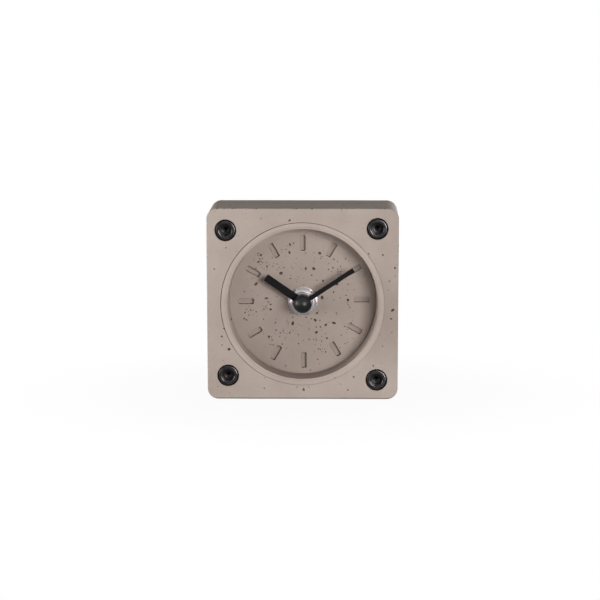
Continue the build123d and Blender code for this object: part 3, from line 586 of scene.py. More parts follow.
def circuit_board(fine=260.0):
    """Green solder mask over copper tracks, which show as paler lines."""
    mask = colour(22, 84, 52)
    made = Finish("board_green", mask, 0.38)
    tracks = add(
        made.tree, "TexBrick", made.stretched((fine, fine, fine)),
        Scale=1.0, Color1=mask, Color2=colour(26, 92, 58), Mortar=colour(64, 128, 84),
    )
    made.feed("Base Color", tracks.outputs["Color"])
    made.gloss(made.cloud(1.2), 0.3, 0.46)


def winding(wire=0.9):
    """Enamelled copper wire, wound in close turns."""
    made = Finish("copper", colour(186, 110, 66), 0.34, metallic=1.0)
    turns = add(made.tree, "TexWave", made.place, Scale=1 / (wire * MM), Distortion=0.4).outputs["Fac"]
    made.paint(turns, colour(142, 76, 42), colour(196, 120, 74))
    made.gloss(made.cloud(0.8), 0.26, 0.42)
    made.bump(turns, 0.05, 0.8)


# Painted shade on the concrete, soft round patches: middle, inner and outer reach, and the most
FACE_SHADE = ((41.0, 0.0, -7.0), 2.0, 30.0, 0.42)
DIAL_SHADE = ((-22.0, 10.0, -4.0), 8.0, 50.0, 0.24)
RIM_SHADE = ((0.0, 0.0, -33.0), 8.0, 30.0, 0.17)
WALL_SHADE = ((-3.0, 6.0, -34.0), 8.0, 48.0, 0.75)
# Straight fades of painted shade: the way, from, to, the shares there, and the colour. The wall's darkens
# the recess wall towards its foot, the other the lowest 0.9 mm of the block.
WALL_FOOT_PAINTED_SHADE = ("Y", FRONT + 4.0, FRONT + 10.0, 0.0, 0.30, colour(96, 82, 75))
BOTTOM_EDGE_PAINTED_SHADE = ("Z", 0.0, 0.9, 0.9, 0.0, colour(84, 74, 70))

# The casting's materials: the face first, then the others by their slots
concrete("concrete", (179, 166, 157), (185, 172, 163), (168, 154, 145), FACE_SHADE, BOTTOM_EDGE_PAINTED_SHADE)
# A dark copy of the concrete: painted shade in pits, chips, counterbores and the shaded walls of the marks
concrete("concrete_painted_shade", (104, 90, 82), (112, 98, 90), (94, 80, 72))
# A dark copy of the concrete: painted shade in the fine groove round the rim
concrete("concrete_groove_shade", (112, 98, 90), (120, 106, 98), (104, 90, 82))
concrete("concrete_dial", (169, 156, 147), (175, 162, 153), (159, 145, 136), DIAL_SHADE)
# A lighter copy of the concrete: painted light on the rim, with painted shade towards its bottom
concrete("concrete_rim_painted_light", (185, 171, 162), (191, 177, 168), (174, 160, 151), RIM_SHADE)
# A lighter copy of the concrete: painted light on the recess wall, with painted shade towards its bottom and
# its foot
concrete("concrete_wall_painted_light", (198, 184, 175), (204, 190, 181), (188, 174, 165), WALL_SHADE, WALL_FOOT_PAINTED_SHADE)
casting_slots = list(finishes)
SHADOWED, GROOVE_SHADOWED, DIAL, RIM, WALL = range(1, 6)

moulded("cover_black", (42, 42, 44), 0.55)
moulded("rubber_black", (30, 30, 30), 0.80, grain=0.5, relief=0.02, specular=0.3)
moulded("movement_black", (46, 46, 48), 0.50)
moulded("chip_black", (34, 34, 35), 0.62)
moulded("bobbin_white", (226, 224, 214), 0.45)
moulded("gear_white", (232, 230, 222), 0.40, relief=0.006)
moulded("knob_black", (48, 48, 50), 0.50)
metal("plated_steel", (208, 202, 204), 0.30, grain=3.0, spread=0.02, relief=0.0)
metal("brass", (208, 170, 96), 0.24, stretch=(1.0, 6.0, 1.0))
metal("contact_steel", (206, 206, 204), 0.26, stretch=(1.0, 1.0, 0.15))
metal("iron", (150, 150, 152), 0.36, stretch=(0.2, 1.0, 1.0))
metal("magnet", (92, 92, 96), 0.48, relief=0.01)
# A darker copy of the screw metal: painted shade inside the sockets
metal("screw_socket_painted_shade", (46, 44, 45), 0.30)
metal("cell_end_steel", (212, 212, 212), 0.22)
satin_black("hand_black", (15, 12, 13), 0.45, 0.10)
satin_black("cap_black", (10, 10, 11), 0.38, 0.42)
black_oxide()
cell_sleeve()
circuit_board()
winding()


# Casting


def wavering(loop, amount=0.10, length=13.0, along=0.6, drawn_in=0.32):
    """A loop drawn in by a slow wander and towards its foot, as a hand-made mould gives it."""
    moved = []
    for across, depth, up in loop:
        drift = noise.noise(Vector((across, depth * along, up)) / length)
        share = 1 - amount * (0.5 + 0.5 * drift) / HALF
        taper = 1 - drawn_in * (HALF - up) / BLOCK / HALF
        moved.append((across * share * taper, depth, up * share))
    return moved


def block_surface(edge_steps=5, depth_steps=12, side_steps=28):
    """The outside of the block, with rounded long edges."""
    edge = quarter_round(EDGE_RADIUS, edge_steps)
    flat = DEPTH - 2 * EDGE_RADIUS
    rows = edge + [(0.0, EDGE_RADIUS + flat * step / depth_steps) for step in range(1, depth_steps)]
    rows += [(inset, DEPTH - depth) for inset, depth in edge[::-1]]
    loops = []
    for inset, depth in rows:
        loop = square_loop(HALF - inset, CORNER_RADIUS - inset, depth, side_steps=side_steps)
        loops.append(wavering(loop))
    return skin(loops)


def rim_surface(overlap=0.02, edge=((0.0, 0.16), (0.05, 0.05), (0.16, 0.0))):
    """The raised rim round the recess, with its rounded lip, reaching down into the block."""
    sunk = RECESS_DEPTH / 2
    rows = [(sunk, RECESS_RADIUS - RECESS_DRAFT / 2 - overlap)]
    rows += [(down - RIM_HEIGHT, RECESS_RADIUS + out) for down, out in quarter_round(LIP_RADIUS, 8)]
    rows += [(down - RIM_HEIGHT, RIM_RADIUS - inset) for down, inset in edge]
    rows.append((sunk, RIM_RADIUS))
    return skin(turned(rows, ROUND_STEPS), closed=True)


def recess_surface(groove=0.28, foot_shift=(-0.22, 0.32), above=3.0, slope=1.6, point=0.001):
    """What the recess takes out: a wall with a little draft and a fine groove at its foot."""
    rows = [(-above, point), (-above, RECESS_RADIUS), (LIP_RADIUS - RIM_HEIGHT, RECESS_RADIUS)]
    foot = RECESS_RADIUS - RECESS_DRAFT
    groove_floor = RECESS_DEPTH + groove
    foot_rows = [(groove_floor, foot), (groove_floor, foot - groove)]
    foot_rows += [(RECESS_DEPTH, foot - slope * groove), (RECESS_DEPTH, point)]
    return skin(turned(rows, ROUND_STEPS) + turned(foot_rows, ROUND_STEPS, foot_shift))


def rim_line_surface(radius=0.17, shift=(-0.12, 0.04), steps=8):
    """A fine groove at the outer foot of the rim, which fades towards the right."""
    bends = [tau * step / steps for step in range(steps)]
    rows = [(radius * cos(bend), RIM_RADIUS + radius * sin(bend)) for bend in bends]
    return skin(turned(rows, ROUND_STEPS, shift), closed=True)


def marker_surface(turn, shift, least_corner=0.12):
    """A debossed bar mark on the dial, with rounded corners, a soft mouth and a soft foot."""
    loops = []
    for depth, grow in MARKER_SECTION:
        corner = max(least_corner, MARKER_CORNER + grow)
        flat_long = MARKER_LENGTH / 2 + grow - corner
        flat_wide = MARKER_WIDTH / 2 + grow - corner
        loop = []
        for quarter, (end, side) in enumerate(((1, 1), (-1, 1), (-1, -1), (1, -1))):
            for step in range(4):
                bend = pi / 2 * (quarter + step / 3)
                along = MARKER_RADIUS + end * flat_long + corner * cos(bend)
                wide = side * flat_wide + corner * sin(bend)
                across = along * sin(turn) + wide * cos(turn)
                up = along * cos(turn) - wide * sin(turn)
                loop.append((across + shift[0], RECESS_DEPTH + depth, up + shift[1]))
        loops.append(loop)
    return skin(loops)


def screw_hole_surface(centre):
    """A counterbore with a softly broken mouth, and the hole for the shank."""
    shoulder = depth_span("clamp_screws")[0] + HEAD_HEIGHT
    rows = [(depth, COUNTERBORE_RADIUS + grow) for depth, grow in COUNTERBORE_MOUTH]
    rows += [(shoulder, COUNTERBORE_RADIUS), (shoulder, SHANK_HOLE), (DEPTH + OVERCUT, SHANK_HOLE)]
    return skin(turned(rows, HOLE_STEPS, centre))


def well_surface(half, corner, start):
    """A rounded square well, from a depth out through the back."""
    return skin([square_loop(half, corner, depth, 8) for depth in (start, DEPTH + OVERCUT)])


def pore_surface(
    place, normal, radius, draw, mouth=1.12, deep=1.45, raised=0.20, uneven=0.34, fine_from=0.34
):
    """An uneven pit of the given mouth radius, sunk along the normal into the surface."""
    work = bmesh.new()
    bmesh.ops.create_icosphere(work, subdivisions=3 if radius > fine_from else 2, radius=1.0)
    wide = draw.uniform(0.80, 1.35)
    tilt = draw.uniform(0, pi)
    shift = Vector((draw.uniform(0, 90), draw.uniform(0, 90), draw.uniform(0, 90)))
    normal = Vector(normal)
    first = normal.orthogonal().normalized()
    second = normal.cross(first)
    long_way = first * cos(tilt) + second * sin(tilt)
    cross_way = normal.cross(long_way)
    verts = []
    for vert in work.verts:
        share = 1 + uneven * noise.noise(vert.co * 1.3 + shift)
        spot = vert.co * radius * mouth * share
        point = Vector(place) + long_way * spot.x * wide + cross_way * spot.y / wide
        point += normal * (spot.z * deep + radius * raised)
        verts.append(tuple(point))
    faces = [tuple(vert.index for vert in face.verts) for face in work.faces]
    work.free()
    return verts, faces


class Pores:
    """Pits that keep clear of each other, collected into one cutting mesh."""

    def __init__(self, seed):
        self.draw = random.Random(seed)
        self.surfaces = []
        self.taken = []

    def add(self, place, normal, radius, room=1.75):
        place = Vector(place)
        for other, other_radius in self.taken:
            if (place - other).length < room * (radius + other_radius):
                return
        self.taken.append((place, radius))
        self.surfaces.append(pore_surface(place, normal, radius, self.draw))

    def front(self, across, up, radius):
        self.add((across, face_depth(across, up), up), (0, -1, 0), radius)


def face_depth(across, up):
    """Depth of the front surface at a place on the face, rim or dial."""
    reach = hypot(across, up)
    if reach < RECESS_RADIUS:
        return RECESS_DEPTH
    return -RIM_HEIGHT if reach < RIM_RADIUS else 0.0


def seen_pores(pores):
    """The pits that stand out on the dial and the face, and the flocks of fine ones round them."""
    scatter = pores.draw
    for places, radius in PORES_SEEN:
        for across, up in places:
            pores.front(across, up, radius * scatter.uniform(0.86, 1.14))
    for across, up, spread, count in DIAL_CLUSTERS:
        for _ in range(count):
            place = (across + scatter.gauss(0, spread), up + scatter.gauss(0, spread))
            size = scatter.choice((PORE_FINE, PORE_FINE, PORE_SMALL)) * scatter.uniform(0.8, 1.2)
            pores.front(*place, size)


def casting_pores(seed=41, inset=1.0, margin=1.5, sink=0.05):
    """All pits of the block: those seen, the fine ones of dial and face, those of the sides."""
    pores = Pores(seed)
    scatter = pores.draw
    seen_pores(pores)
    for count, radius, reach in DIAL_SCATTER:
        for _ in range(count):
            turn = scatter.uniform(0, tau)
            far = reach * sqrt(scatter.uniform(0.04, 1))
            pores.front(far * cos(turn), far * sin(turn), radius * scatter.uniform(0.7, 1.25))
    edge = HALF - inset
    for _ in range(FACE_SCATTER):
        across, up = scatter.uniform(-edge, edge), scatter.uniform(-edge, edge)
        if hypot(across, up) > RECESS_RADIUS + LIP_RADIUS:
            pores.front(across, up, PORE_FINE * scatter.uniform(0.7, 1.3))
    side = HALF - sink
    for normal in ((0, 0, 1), (0, 0, -1), (1, 0, 0), (-1, 0, 0)):
        for _ in range(SIDE_SCATTER):
            depth = scatter.uniform(margin, DEPTH - margin)
            along = scatter.uniform(-HALF + CORNER_RADIUS, HALF - CORNER_RADIUS)
            place = (normal[0] * side or along, depth, normal[2] * side or along)
            size = scatter.choice((PORE_FINE, PORE_FINE, PORE_SMALL, PORE_SMALL, PORE_MEDIUM))
            pores.add(place, normal, size * scatter.uniform(0.8, 1.25))
    return joined(pores.surfaces)


def edge_chips(seed=17, counts=(7, 16, 8, 7), depth=0.1, least=0.18, most=0.42):
    """Small bites out of the four front edges of the block, with a count for each."""
    pores = Pores(seed)
    scatter = pores.draw
    for side, count in enumerate(counts):
        turn = side * pi / 2
        normal = Vector((cos(turn), -1.0, sin(turn))).normalized()
        for _ in range(count):
            along = scatter.uniform(-HALF + CORNER_RADIUS, HALF - CORNER_RADIUS)
            across = HALF * cos(turn) - along * sin(turn)
            up = HALF * sin(turn) + along * cos(turn)
            pores.add((across, depth, up), normal, scatter.uniform(least, most))
    return joined(pores.surfaces)


def make_casting(sharp=38.0):
    """The concrete block: rim added, everything else cut out of it, pits last."""
    block = mesh_object("casing_cast", block_surface(), casting_slots)
    # The rim takes the lighter copy, painted light
    carve(block, [mesh_object("rim", rim_surface(), casting_slots, RIM)], "UNION")
    tools = []

    def cutter(name, surface, index=0):
        tools.append(mesh_object(name, surface, casting_slots, index))
        return tools[-1]

    # The groove round the rim takes the painted shade
    cutter("rim_line", rim_line_surface(), GROOVE_SHADOWED)
    # The recess walls take the lighter copy, painted light and painted shade
    paint_wall_shading(cutter("recess", recess_surface(), DIAL), WALL)
    for hour, shift in enumerate(MARKER_SHIFTS):
        marker = cutter("marker", marker_surface(tau * hour / 12, shift), DIAL)
        # Painted shade on every wall of a mark but those that face right, into the light
        paint_wall_shading(marker, SHADOWED, leftmost=-0.6)
    bush_rows = [(RECESS_DEPTH - OVERCUT, BUSH_HOLE), (DIAL_BACK + OVERCUT, BUSH_HOLE)]
    cutter("bush_hole", skin(turned(bush_rows, HOLE_STEPS)))
    cutter("cavity", well_surface(CAVITY_HALF, CAVITY_CORNER, DIAL_BACK))
    cover_low, cover_high = span("rear_cover")
    cutter("rebate", well_surface(cover_high.x + COVER_GAP, CORNER_RADIUS, cover_low.y - FRONT))
    for centre in SCREW_PLACES:
        # Painted shade on the walls of the counterbores, the dark gap round each screw head
        paint_wall_shading(cutter("screw_hole", screw_hole_surface(centre)), SHADOWED)
    # Pits and chips take the dark copy: painted shade in their hollows
    cutter("pores", casting_pores(), SHADOWED)
    cutter("chips", edge_chips(), SHADOWED)
    carve(block, tools)
    smooth(block, sharp)
    piece(block, "case", "concrete", "casing")


# Screws and nuts


def thread_rows(start, end, outer, height, pitch, per_turn=8, flank=1.5):
    """Rows of a screw thread, each with its radius all round."""

    def cut(along):
        def radius(turn):
            phase = (along / pitch + turn / tau) % 1.0
            return outer - height * min(1.0, abs(2 * phase - 1) * flank)

        return radius

    count = max(2, round((end - start) / pitch * per_turn))
    return [(along, cut(along)) for along in even_steps(start, end, count)]


def knurled(turn, depth=0.14, count=36):
    """Radius of the screw head's knurled side."""
    return HEAD_RADIUS - depth * (0.5 + 0.5 * cos(turn * count))


def head_surface(
    centre, socket_turn, top, drill=1.25, slope=31.0, mouth=0.5, mouth_radius=2.45, edge=0.5,
    knurl_from=0.95, knurl_to=0.45, chamfer=0.3, steps=144,
):
    """A knurled head with a round edge, and a hexagon socket with a drilled bottom."""
    seat = top + HEAD_HEIGHT
    floor = top + SOCKET_DEPTH
    hexagonal = hexagon(SOCKET_APOTHEM, socket_turn)
    rows = [(floor + drill * tan(radians(slope)), TIP), (floor + 0.04, drill)]
    rows += [(floor, drill + 0.1), (floor, hexagonal), (top + mouth + 0.06, hexagonal)]
    rows += [(top + along, mouth_radius + inset) for inset, along in quarter_round(mouth, 6)[::-1]]
    rows += [(top + along, HEAD_RADIUS - 0.1 - inset) for inset, along in quarter_round(edge, 6)]
    rows += [(top + knurl_from, knurled), (seat - knurl_to, knurled)]
    rows += [(seat - 0.2, HEAD_RADIUS - chamfer / 2), (seat, HEAD_RADIUS - chamfer), (seat, TIP)]
    return skin(turned(rows, steps, centre))


def shank_surface(centre, seat, end, plain_share=0.75, sunk=0.5, point=0.5, runout=0.3, steps=36):
    """A plain shank with a thread towards its end."""
    plain_end = seat + (end - seat) * plain_share
    plain_radius = SHANK_RADIUS - 0.05
    rows = [(seat - sunk, plain_radius), (plain_end, plain_radius)]
    rows += thread_rows(plain_end + runout, end - point, SHANK_RADIUS - 0.02, height=0.36, pitch=0.8)
    rows += [(end, SHANK_RADIUS - point), (end, TIP)]
    return skin(turned(rows, steps, centre))


def make_screws(mouth=0.5, reach=1.2, sharp=30.0):
    """Four socket cap screws, with painted shade inside their sockets."""
    top, end = depth_span("clamp_screws")
    surfaces = []
    for centre, turn in zip(SCREW_PLACES, SOCKET_TURNS):
        surfaces.append(head_surface(centre, turn, top))
        surfaces.append(shank_surface(centre, top + HEAD_HEIGHT, end))
    screws = mesh_object("corner_screws", joined(surfaces), ["screw_black", "screw_socket_painted_shade"])
    for polygon in screws.data.polygons:
        place = polygon.center
        depth = place.y / MM - FRONT
        near = min(hypot(place.x / MM - x, place.z / MM - AXIS - z) for x, z in SCREW_PLACES)
        inside = top + mouth < depth < top + SOCKET_DEPTH + OVERCUT
        if inside and near < SOCKET_APOTHEM * reach:
            polygon.material_index = 1
    smooth(screws, sharp)
    piece(screws, "case", "screw_black", "clamp_screws")


def crown_rows(flat_radius, reach, slope=radians(32), rounding=0.3):
    """Rows of a chamfer that starts with a small round and runs out to the reach."""
    turns = even_steps(0, slope, 5)
    rows = [(rounding * (1 - cos(turn)), flat_radius + rounding * sin(turn)) for turn in turns]
    along, radius = rows[-1]
    rows.append((along + (reach - radius) * tan(slope), reach))
    return rows


def make_nut(name, node, slot, apothem, bore, start, places, both, flat=0.90, sink=0.3, sharp=28.0):
    """Hexagon nuts: bars whose ends are rounded by a turned crown, with a countersunk bore."""
    front, back = depth_span(node)
    corner = apothem / cos(pi / 6)
    reach = corner + 0.1
    crown = crown_rows(apothem * flat, reach)
    rows = [(front + along, radius) for along, radius in crown]
    if both:
        rows += [(back - along, radius) for along, radius in crown[::-1]]
    else:
        rows.append((back, reach))
    rows += [(back, bore + sink), (back - sink, bore)]
    rows += [(front + sink, bore), (front, bore + sink)]
    turned_nuts = joined([skin(turned(rows, TURN_STEPS, place), closed=True) for place in places])
    nut = mesh_object(name, turned_nuts, [slot])
    bars = []
    for place in places:
        outline = [polar(place, corner, start + tau * step / 6) for step in range(6)]
        bars.append(prism(outline, front - OVERCUT, back + OVERCUT))
    carve(nut, [mesh_object("bars", joined(bars), [slot])], "INTERSECT")
    smooth(nut, sharp)
    piece(nut, "case", slot, node)


# Hub


def make_washer(bore=4.15, bead=0.32, swell=0.22, broken=0.06):
    """The washer on the dial, with a bead along its edge."""
    front, back = depth_span("dial_washer")
    radius = span("dial_washer")[1].x
    rows = [(back, bore), (back, radius - broken), (back - broken, radius)]
    for bend in even_steps(0, pi, 12):
        rows.append((front + swell * (1 - sin(bend)), radius - bead + bead * cos(bend)))
    rows.append((front + swell, bore))
    surface = skin(turned(rows, TURN_STEPS), closed=True)
    plain_piece("hub_washer", surface, "case", "plated_steel", "dial_washer")


def make_bush(bore=2.53, mouth=3.6, radius=3.99, flange=5.2, flange_depth=0.8, runout=0.2, steps=72):
    """The threaded bush of the movement, with its flange."""
    front, back = depth_span("threaded_bush")
    ledge = back - flange_depth
    rows = [(front, bore), (front, mouth)]
    rows += thread_rows(front + runout, RECESS_DEPTH, radius, height=0.34, pitch=0.75)
    rows += [(RECESS_DEPTH + runout, radius), (ledge, radius), (ledge, flange), (back, flange), (back, bore)]
    surface = skin(turned(rows, steps), closed=True)
    plain_piece("hub_bush", surface, "case", "plated_steel", "threaded_bush")


# Hands


def hand_outline(eye, width, length, inset, corner=0.22, least_corner=0.03, steps=44):
    """Outline of a bar hand with a round eye, along its own length, drawn in by an inset."""
    eye -= inset
    half = width / 2 - inset
    tip = length - inset
    corner = max(corner - inset, least_corner)
    meet = asin(half / eye)
    points = [polar((0.0, 0.0), eye, turn) for turn in even_steps(meet, tau - meet, steps)]
    for side, start in ((-1, -pi / 2), (1, 0.0)):
        for bend in even_steps(0.0, pi / 2, 4):
            points.append(polar((tip - corner, side * (half - corner)), corner, start + bend))
    return points


def make_hand(name, node, body, eye, width, length, bore, angle, bevel=0.09, soft=0.027, sharp=40.0):
    """A flat bar hand with softly broken edges, at its angle in degrees past twelve."""
    front, back = depth_span(node)
    turn = radians(angle)

    def laid(points, depth):
        loop = []
        for along, aside in points:
            across = along * sin(turn) - aside * cos(turn)
            loop.append((across, depth, along * cos(turn) + aside * sin(turn)))
        return loop

    outer, middle, inner = (hand_outline(eye, width, length, inset) for inset in (0.0, soft, bevel))
    hole = []
    for along, aside in outer:
        reach = hypot(along, aside)
        hole.append((bore * along / reach, bore * aside / reach))
    loops = [laid(hole, back), laid(inner, back), laid(outer, back - bevel), laid(outer, front + bevel)]
    loops += [laid(middle, front + soft), laid(inner, front), laid(hole, front)]
    plain_piece(name, skin(loops, closed=True), body, "hand_black", node, sharp)


def make_cap(pole=0.004, bore=1.25, bore_depth=2.8, drill_depth=3.1, sharp=35.0):
    """The ball over the hands, flat where it sits on the minute hand, with its tapped bore."""
    front, back = depth_span("ball_cap")
    radius = span("ball_cap")[1].x
    middle = front + radius
    rows = []
    for turn in even_steps(pole, acos((middle - back) / radius), 40):
        rows.append((middle - radius * cos(turn), radius * sin(turn)))
    rows += [(back, bore), (back - bore_depth, bore), (back - drill_depth, TIP)]
    surface = skin(turned(rows, TURN_STEPS))
    plain_piece("hand_cap", surface, "minute_work", "cap_black", "ball_cap", sharp)


# Cell: rows as (distance inwards from the base, the shoulder or the nub's end, radius)
SLEEVE_BASE = ((0.25, 5.9), (0.02, 6.1))
SLEEVE_TOP = ((0.02, 5.3), (0.3, 5.1))
STEEL_BASE = ((0.01, TIP), (0.01, 5.0), (0.3, 5.6), (0.6, 5.6), (0.6, TIP))
STEEL_TOP = ((0.6, TIP), (0.6, 5.2), (0.25, 5.2), (0.1, 3.0))
STEEL_NUB = ((0.25, 2.75), (0.0, 2.45), (0.0, TIP))


def make_cell(nub_height=1.3, edge=0.6, steps=72):
    """A dry cell with a sleeve that is folded over its ends, steel ends and a plus nub."""
    low, high = span("battery")
    middle = (low.y - FRONT + high.y - FRONT) / 2
    height = (low.z + high.z) / 2 - AXIS
    radius = (high.z - low.z) / 2
    shoulder = high.x - nub_height

    def placed(end, way, rows):
        return [(end + way * along, reach) for along, reach in rows]

    def lathed(rows):
        return skin(turned(rows, steps, (middle, height), "across"))

    fold = [(0.0, radius - edge - 0.1), (0.16, radius - 0.2), (edge, radius)]
    rows = placed(low.x, 1, [*SLEEVE_BASE, *fold])
    sleeve = lathed(rows + placed(shoulder, -1, [*fold[::-1], *SLEEVE_TOP]))
    base = lathed(placed(low.x, 1, STEEL_BASE))
    nub = lathed(placed(shoulder, -1, STEEL_TOP) + placed(high.x, -1, STEEL_NUB))
    cell = mesh_object("cell", joined([sleeve, base, nub]), ["cell_sleeve", "cell_end_steel"])
    steel_from = len(sleeve[1])
    for polygon in cell.data.polygons:
        polygon.material_index = 1 if polygon.index >= steel_from else 0
    smooth(cell)
    piece(cell, "case", "cell_sleeve", "battery")


# Moulded marks at the back of the movement


def arrow_outline(centre, inner=7.4, outer=8.0, start=30.0, end=150.0, point=11.0, barb=0.7):
    """A bent double arrow round a middle, between two angles in degrees."""
    first, last, head = (radians(angle) for angle in (start, end, point))
    turns = even_steps(first, last, 24)
    middle = (inner + outer) / 2
    places = [(middle, first - head), (outer + barb, first)]
    places += [(outer, turn) for turn in turns]
    places += [(outer + barb, last), (middle, last + head), (inner - barb, last)]
    places += [(inner, turn) for turn in turns[::-1]] + [(inner - barb, first)]
    return [polar(centre, reach, turn) for reach, turn in places]


def make_shell_marks(half=1.7, bar=0.35, inwards=5.0, above=6.0, sunk=0.2, raised=0.3, edge=0.07):
    """Raised signs on the shell: which way the knob turns, and the poles of the cell."""
    back = depth_span("movement_rear_shell")[1]
    low, high = span("setting_knob")
    outlines = [arrow_outline(((low.x + high.x) / 2, (low.z + high.z) / 2 - AXIS))]
    low, high = span("battery")
    cross = [(half, -bar), (half, bar), (bar, bar), (bar, half), (-bar, half), (-bar, bar)]
    cross += [(-across, -up) for across, up in cross]
    dash = [(half, -bar), (half, bar), (-half, bar), (-half, -bar)]
    line = high.z - AXIS + above
    for middle, corners in ((high.x - inwards, cross), (low.x + inwards, dash)):
        outlines.append([(middle + across, line + up) for across, up in corners])
    surfaces = [prism(outline, back - sunk, back + raised) for outline in outlines]
    marks = mesh_object("shell_marks", joined(surfaces), ["movement_black"])
    soften(marks, edge)
    piece(marks, "case", "movement_black")


# Solids that keep their own shape, and the width of the broken edges on the large ones
SOFTENED = {
    "rear_cover": 0.22, "movement_rear_shell": 0.15, "movement_front_shell": 0.15, "setting_knob": 0.16,
    "gasket": 0.12, "circuit_board": 0.06, "chip": 0.08, "stator": 0.06, "coil_core": 0.06,
    "coil_bobbin": 0.08, "contact_positive": 0.05, "contact_negative": 0.05,
}


def dress_solids(gap=0.002):
    """Finishes for the solids, with slightly broken edges on the large ones that show."""
    for part in frame["record"]["subparts"]:
        obj = frame["nodes"][part["node"]]
        finish = finishes[part["material_slot"]]
        if not obj.material_slots:
            obj.data.materials.append(finish)
        for slot in obj.material_slots:
            slot.material = finish
        width = SOFTENED.get(part["node"])
        if width:
            weld = obj.modifiers.new("weld", "WELD")
            weld.merge_threshold = gap * MM
            soften(obj, width)


# Studio. Lamps: degrees to the right and above, distance and size in metres, power in watts
LAMPS = {
    "key": ((26, 4), 1.1, (0.50, 0.55), 13.6),
    "left_fill": ((-60, 5), 0.45, (0.50, 0.24), 0.86),
    "left_strip": ((-88, 4), 0.50, (0.08, 0.30), 1.2),
    "back": ((152, 3), 1.1, (0.60, 0.30), 9.0),
}
WHITE = (1.0, 1.0, 1.0, 1.0)
# Ramps: from, to, and the values there
BACKDROP_RAMP = (-0.55, 0.15, 0.10, 1.0)
ROOM_RAMP = (0.05, 0.40, 0.10, 0.75)
FLOOR_WHITE_RAMP = (0.04, 0.13, 0.95, 1.0)
FLOOR_MIRRORED_RAMP = (-0.07, -0.02, 0.30, 0.45)


def direction(right, above):
    """Unit vector from the face towards a lamp or camera, by degrees to the right and above."""
    a, e = radians(right), radians(above)
    return Vector((sin(a) * cos(e), -cos(a) * cos(e), sin(e)))


def make_lamp(name, angles, distance, size, power):
    """A soft square lamp that looks at the middle of the face."""
    data = bpy.data.lights.new(name, "AREA")
    data.shape = "RECTANGLE"
    data.size, data.size_y = size
    data.energy = power
    obj = new_object(name, data)
    towards = direction(*angles)
    obj.location = world((0, 0, 0)) + towards.normalized() * distance
    obj.rotation_mode = "QUATERNION"
    obj.rotation_quaternion = towards.to_track_quat("Z", "Y")


def make_world(tint=(1.0, 0.92, 0.92, 1.0), strength=0.07):
    """White to the eye, a backdrop and a dim room in reflections, a weak even light on the rest."""
    world_data = bpy.data.worlds.new("studio")
    bpy.context.scene.world = world_data
    world_data.use_nodes = True
    tree = world_data.node_tree
    tree.nodes.remove(tree.nodes["Background"])
    path = add(tree, "LightPath").outputs
    even = add(tree, "Background", Color=tint, Strength=strength)
    white = add(tree, "Background", Color=WHITE, Strength=1.0)
    room = add(tree, "Background", Color=WHITE)
    towards = add(tree, "SeparateXYZ", add(tree, "TexCoord").outputs["Generated"]).outputs
    behind = ramp(tree, towards["Y"], *BACKDROP_RAMP, "SMOOTHSTEP")
    above = ramp(tree, towards["Z"], *ROOM_RAMP, "SMOOTHSTEP")
    tree.links.new(largest(tree, behind, above), room.inputs["Strength"])
    mirrored = largest(tree, path["Is Glossy Ray"], path["Is Transmission Ray"])
    light = add(tree, "MixShader", mirrored, even.outputs[0], room.outputs[0])
    light = add(tree, "MixShader", path["Is Camera Ray"], light.outputs[0], white.outputs[0])
    tree.links.new(light.outputs[0], tree.nodes["World Output"].inputs["Surface"])


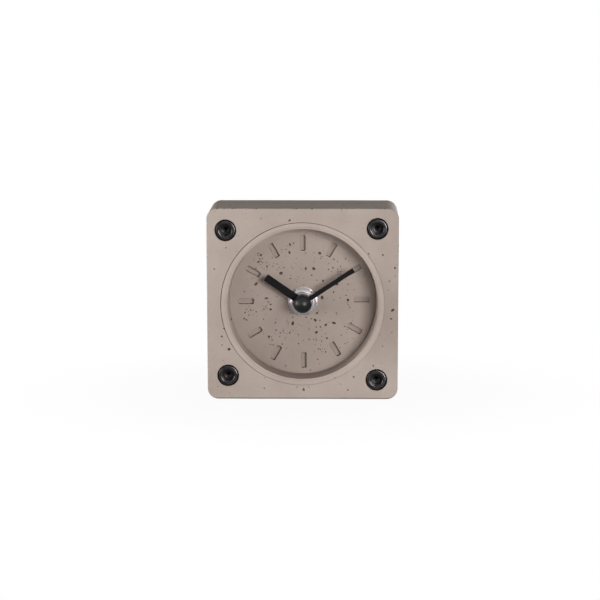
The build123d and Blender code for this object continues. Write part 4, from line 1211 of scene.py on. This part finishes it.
def make_floor(half=3000.0, grey=(0.55, 0.55, 0.55, 1.0), roughness=0.9):
    """A white floor that keeps a soft shadow near the clock and is plain white further away."""
    corners = [(-half, -half, -AXIS), (half, -half, -AXIS), (half, half, -AXIS), (-half, half, -AXIS)]
    mesh = bpy.data.meshes.new("floor")
    mesh.from_pydata([world(corner) for corner in corners], [], [(0, 1, 2, 3)])
    floor = new_object("floor", mesh)
    made = Finish("floor", grey, roughness, specular=0.0)
    mesh.materials.append(made.material)
    tree = made.tree
    glow = add(tree, "Emission")
    path = add(tree, "LightPath").outputs
    dimmer = made.ranged(made.along("Y"), *FLOOR_MIRRORED_RAMP)
    tree.links.new(largest(tree, path["Is Camera Ray"], dimmer), glow.inputs["Strength"])
    seen = largest(tree, path["Is Camera Ray"], path["Is Glossy Ray"], path["Is Transmission Ray"])
    plain = made.ranged(made.away((0.0, 0.0, 0.0)), *FLOOR_WHITE_RAMP)
    share = maths(tree, "MULTIPLY", seen, plain)
    surface = add(tree, "MixShader", share, made.shader.outputs[0], glow.outputs[0])
    tree.links.new(surface.outputs[0], tree.nodes["Material Output"].inputs["Surface"])


# Camera: where the middle of the face stands in the 600 by 600 picture, and how large it is there
PICTURE = 600
FACE_RIGHT_PX = 2.6
FACE_BELOW_PX = 4.3
PIXELS_PER_MM = 2.405
CAMERA_DISTANCE = 1000.0
CAMERA_RIGHT = 1.0
CAMERA_ABOVE = 7.4
SENSOR = 36.0


def make_camera():
    data = bpy.data.cameras.new("camera")
    data.sensor_width = SENSOR
    data.lens = PIXELS_PER_MM * CAMERA_DISTANCE * SENSOR / PICTURE
    camera = new_object("camera", data)
    back = direction(CAMERA_RIGHT, CAMERA_ABOVE)
    turn = back.to_track_quat("Z", "Y")
    right, up = turn @ Vector((1, 0, 0)), turn @ Vector((0, 1, 0))
    target = world((0, 0, 0))
    target += (up * FACE_BELOW_PX - right * FACE_RIGHT_PX) / PIXELS_PER_MM * MM
    camera.location = target + back * CAMERA_DISTANCE * MM
    camera.rotation_mode = "QUATERNION"
    camera.rotation_quaternion = turn
    bpy.context.scene.camera = camera


make_camera()
make_casting()
make_screws()
make_nut(
    "corner_nuts", "clamp_nuts", "screw_black",
    apothem=4.0, bore=SHANK_RADIUS, start=pi / 6, places=SCREW_PLACES, both=True,
)
make_washer()
make_nut(
    "hub_nut", "bush_nut", "plated_steel",
    apothem=5.0, bore=4.0, start=0.0, places=[(0.0, 0.0)], both=False,
)
make_bush()
make_hand("hour_bar", "hour_hand", "hour_work", eye=3.5, width=3.2, length=18.8, bore=2.5, angle=304.71)
make_hand(
    "minute_bar", "minute_hand", "minute_work", eye=2.75, width=1.9, length=25.4, bore=1.6, angle=56.5
)
make_cap()
make_cell()
make_shell_marks()
dress_solids()
make_world()
make_floor()
for lamp_name, lamp_values in LAMPS.items():
    make_lamp(lamp_name, *lamp_values)
bpy.context.scene.view_settings.view_transform = "Standard"
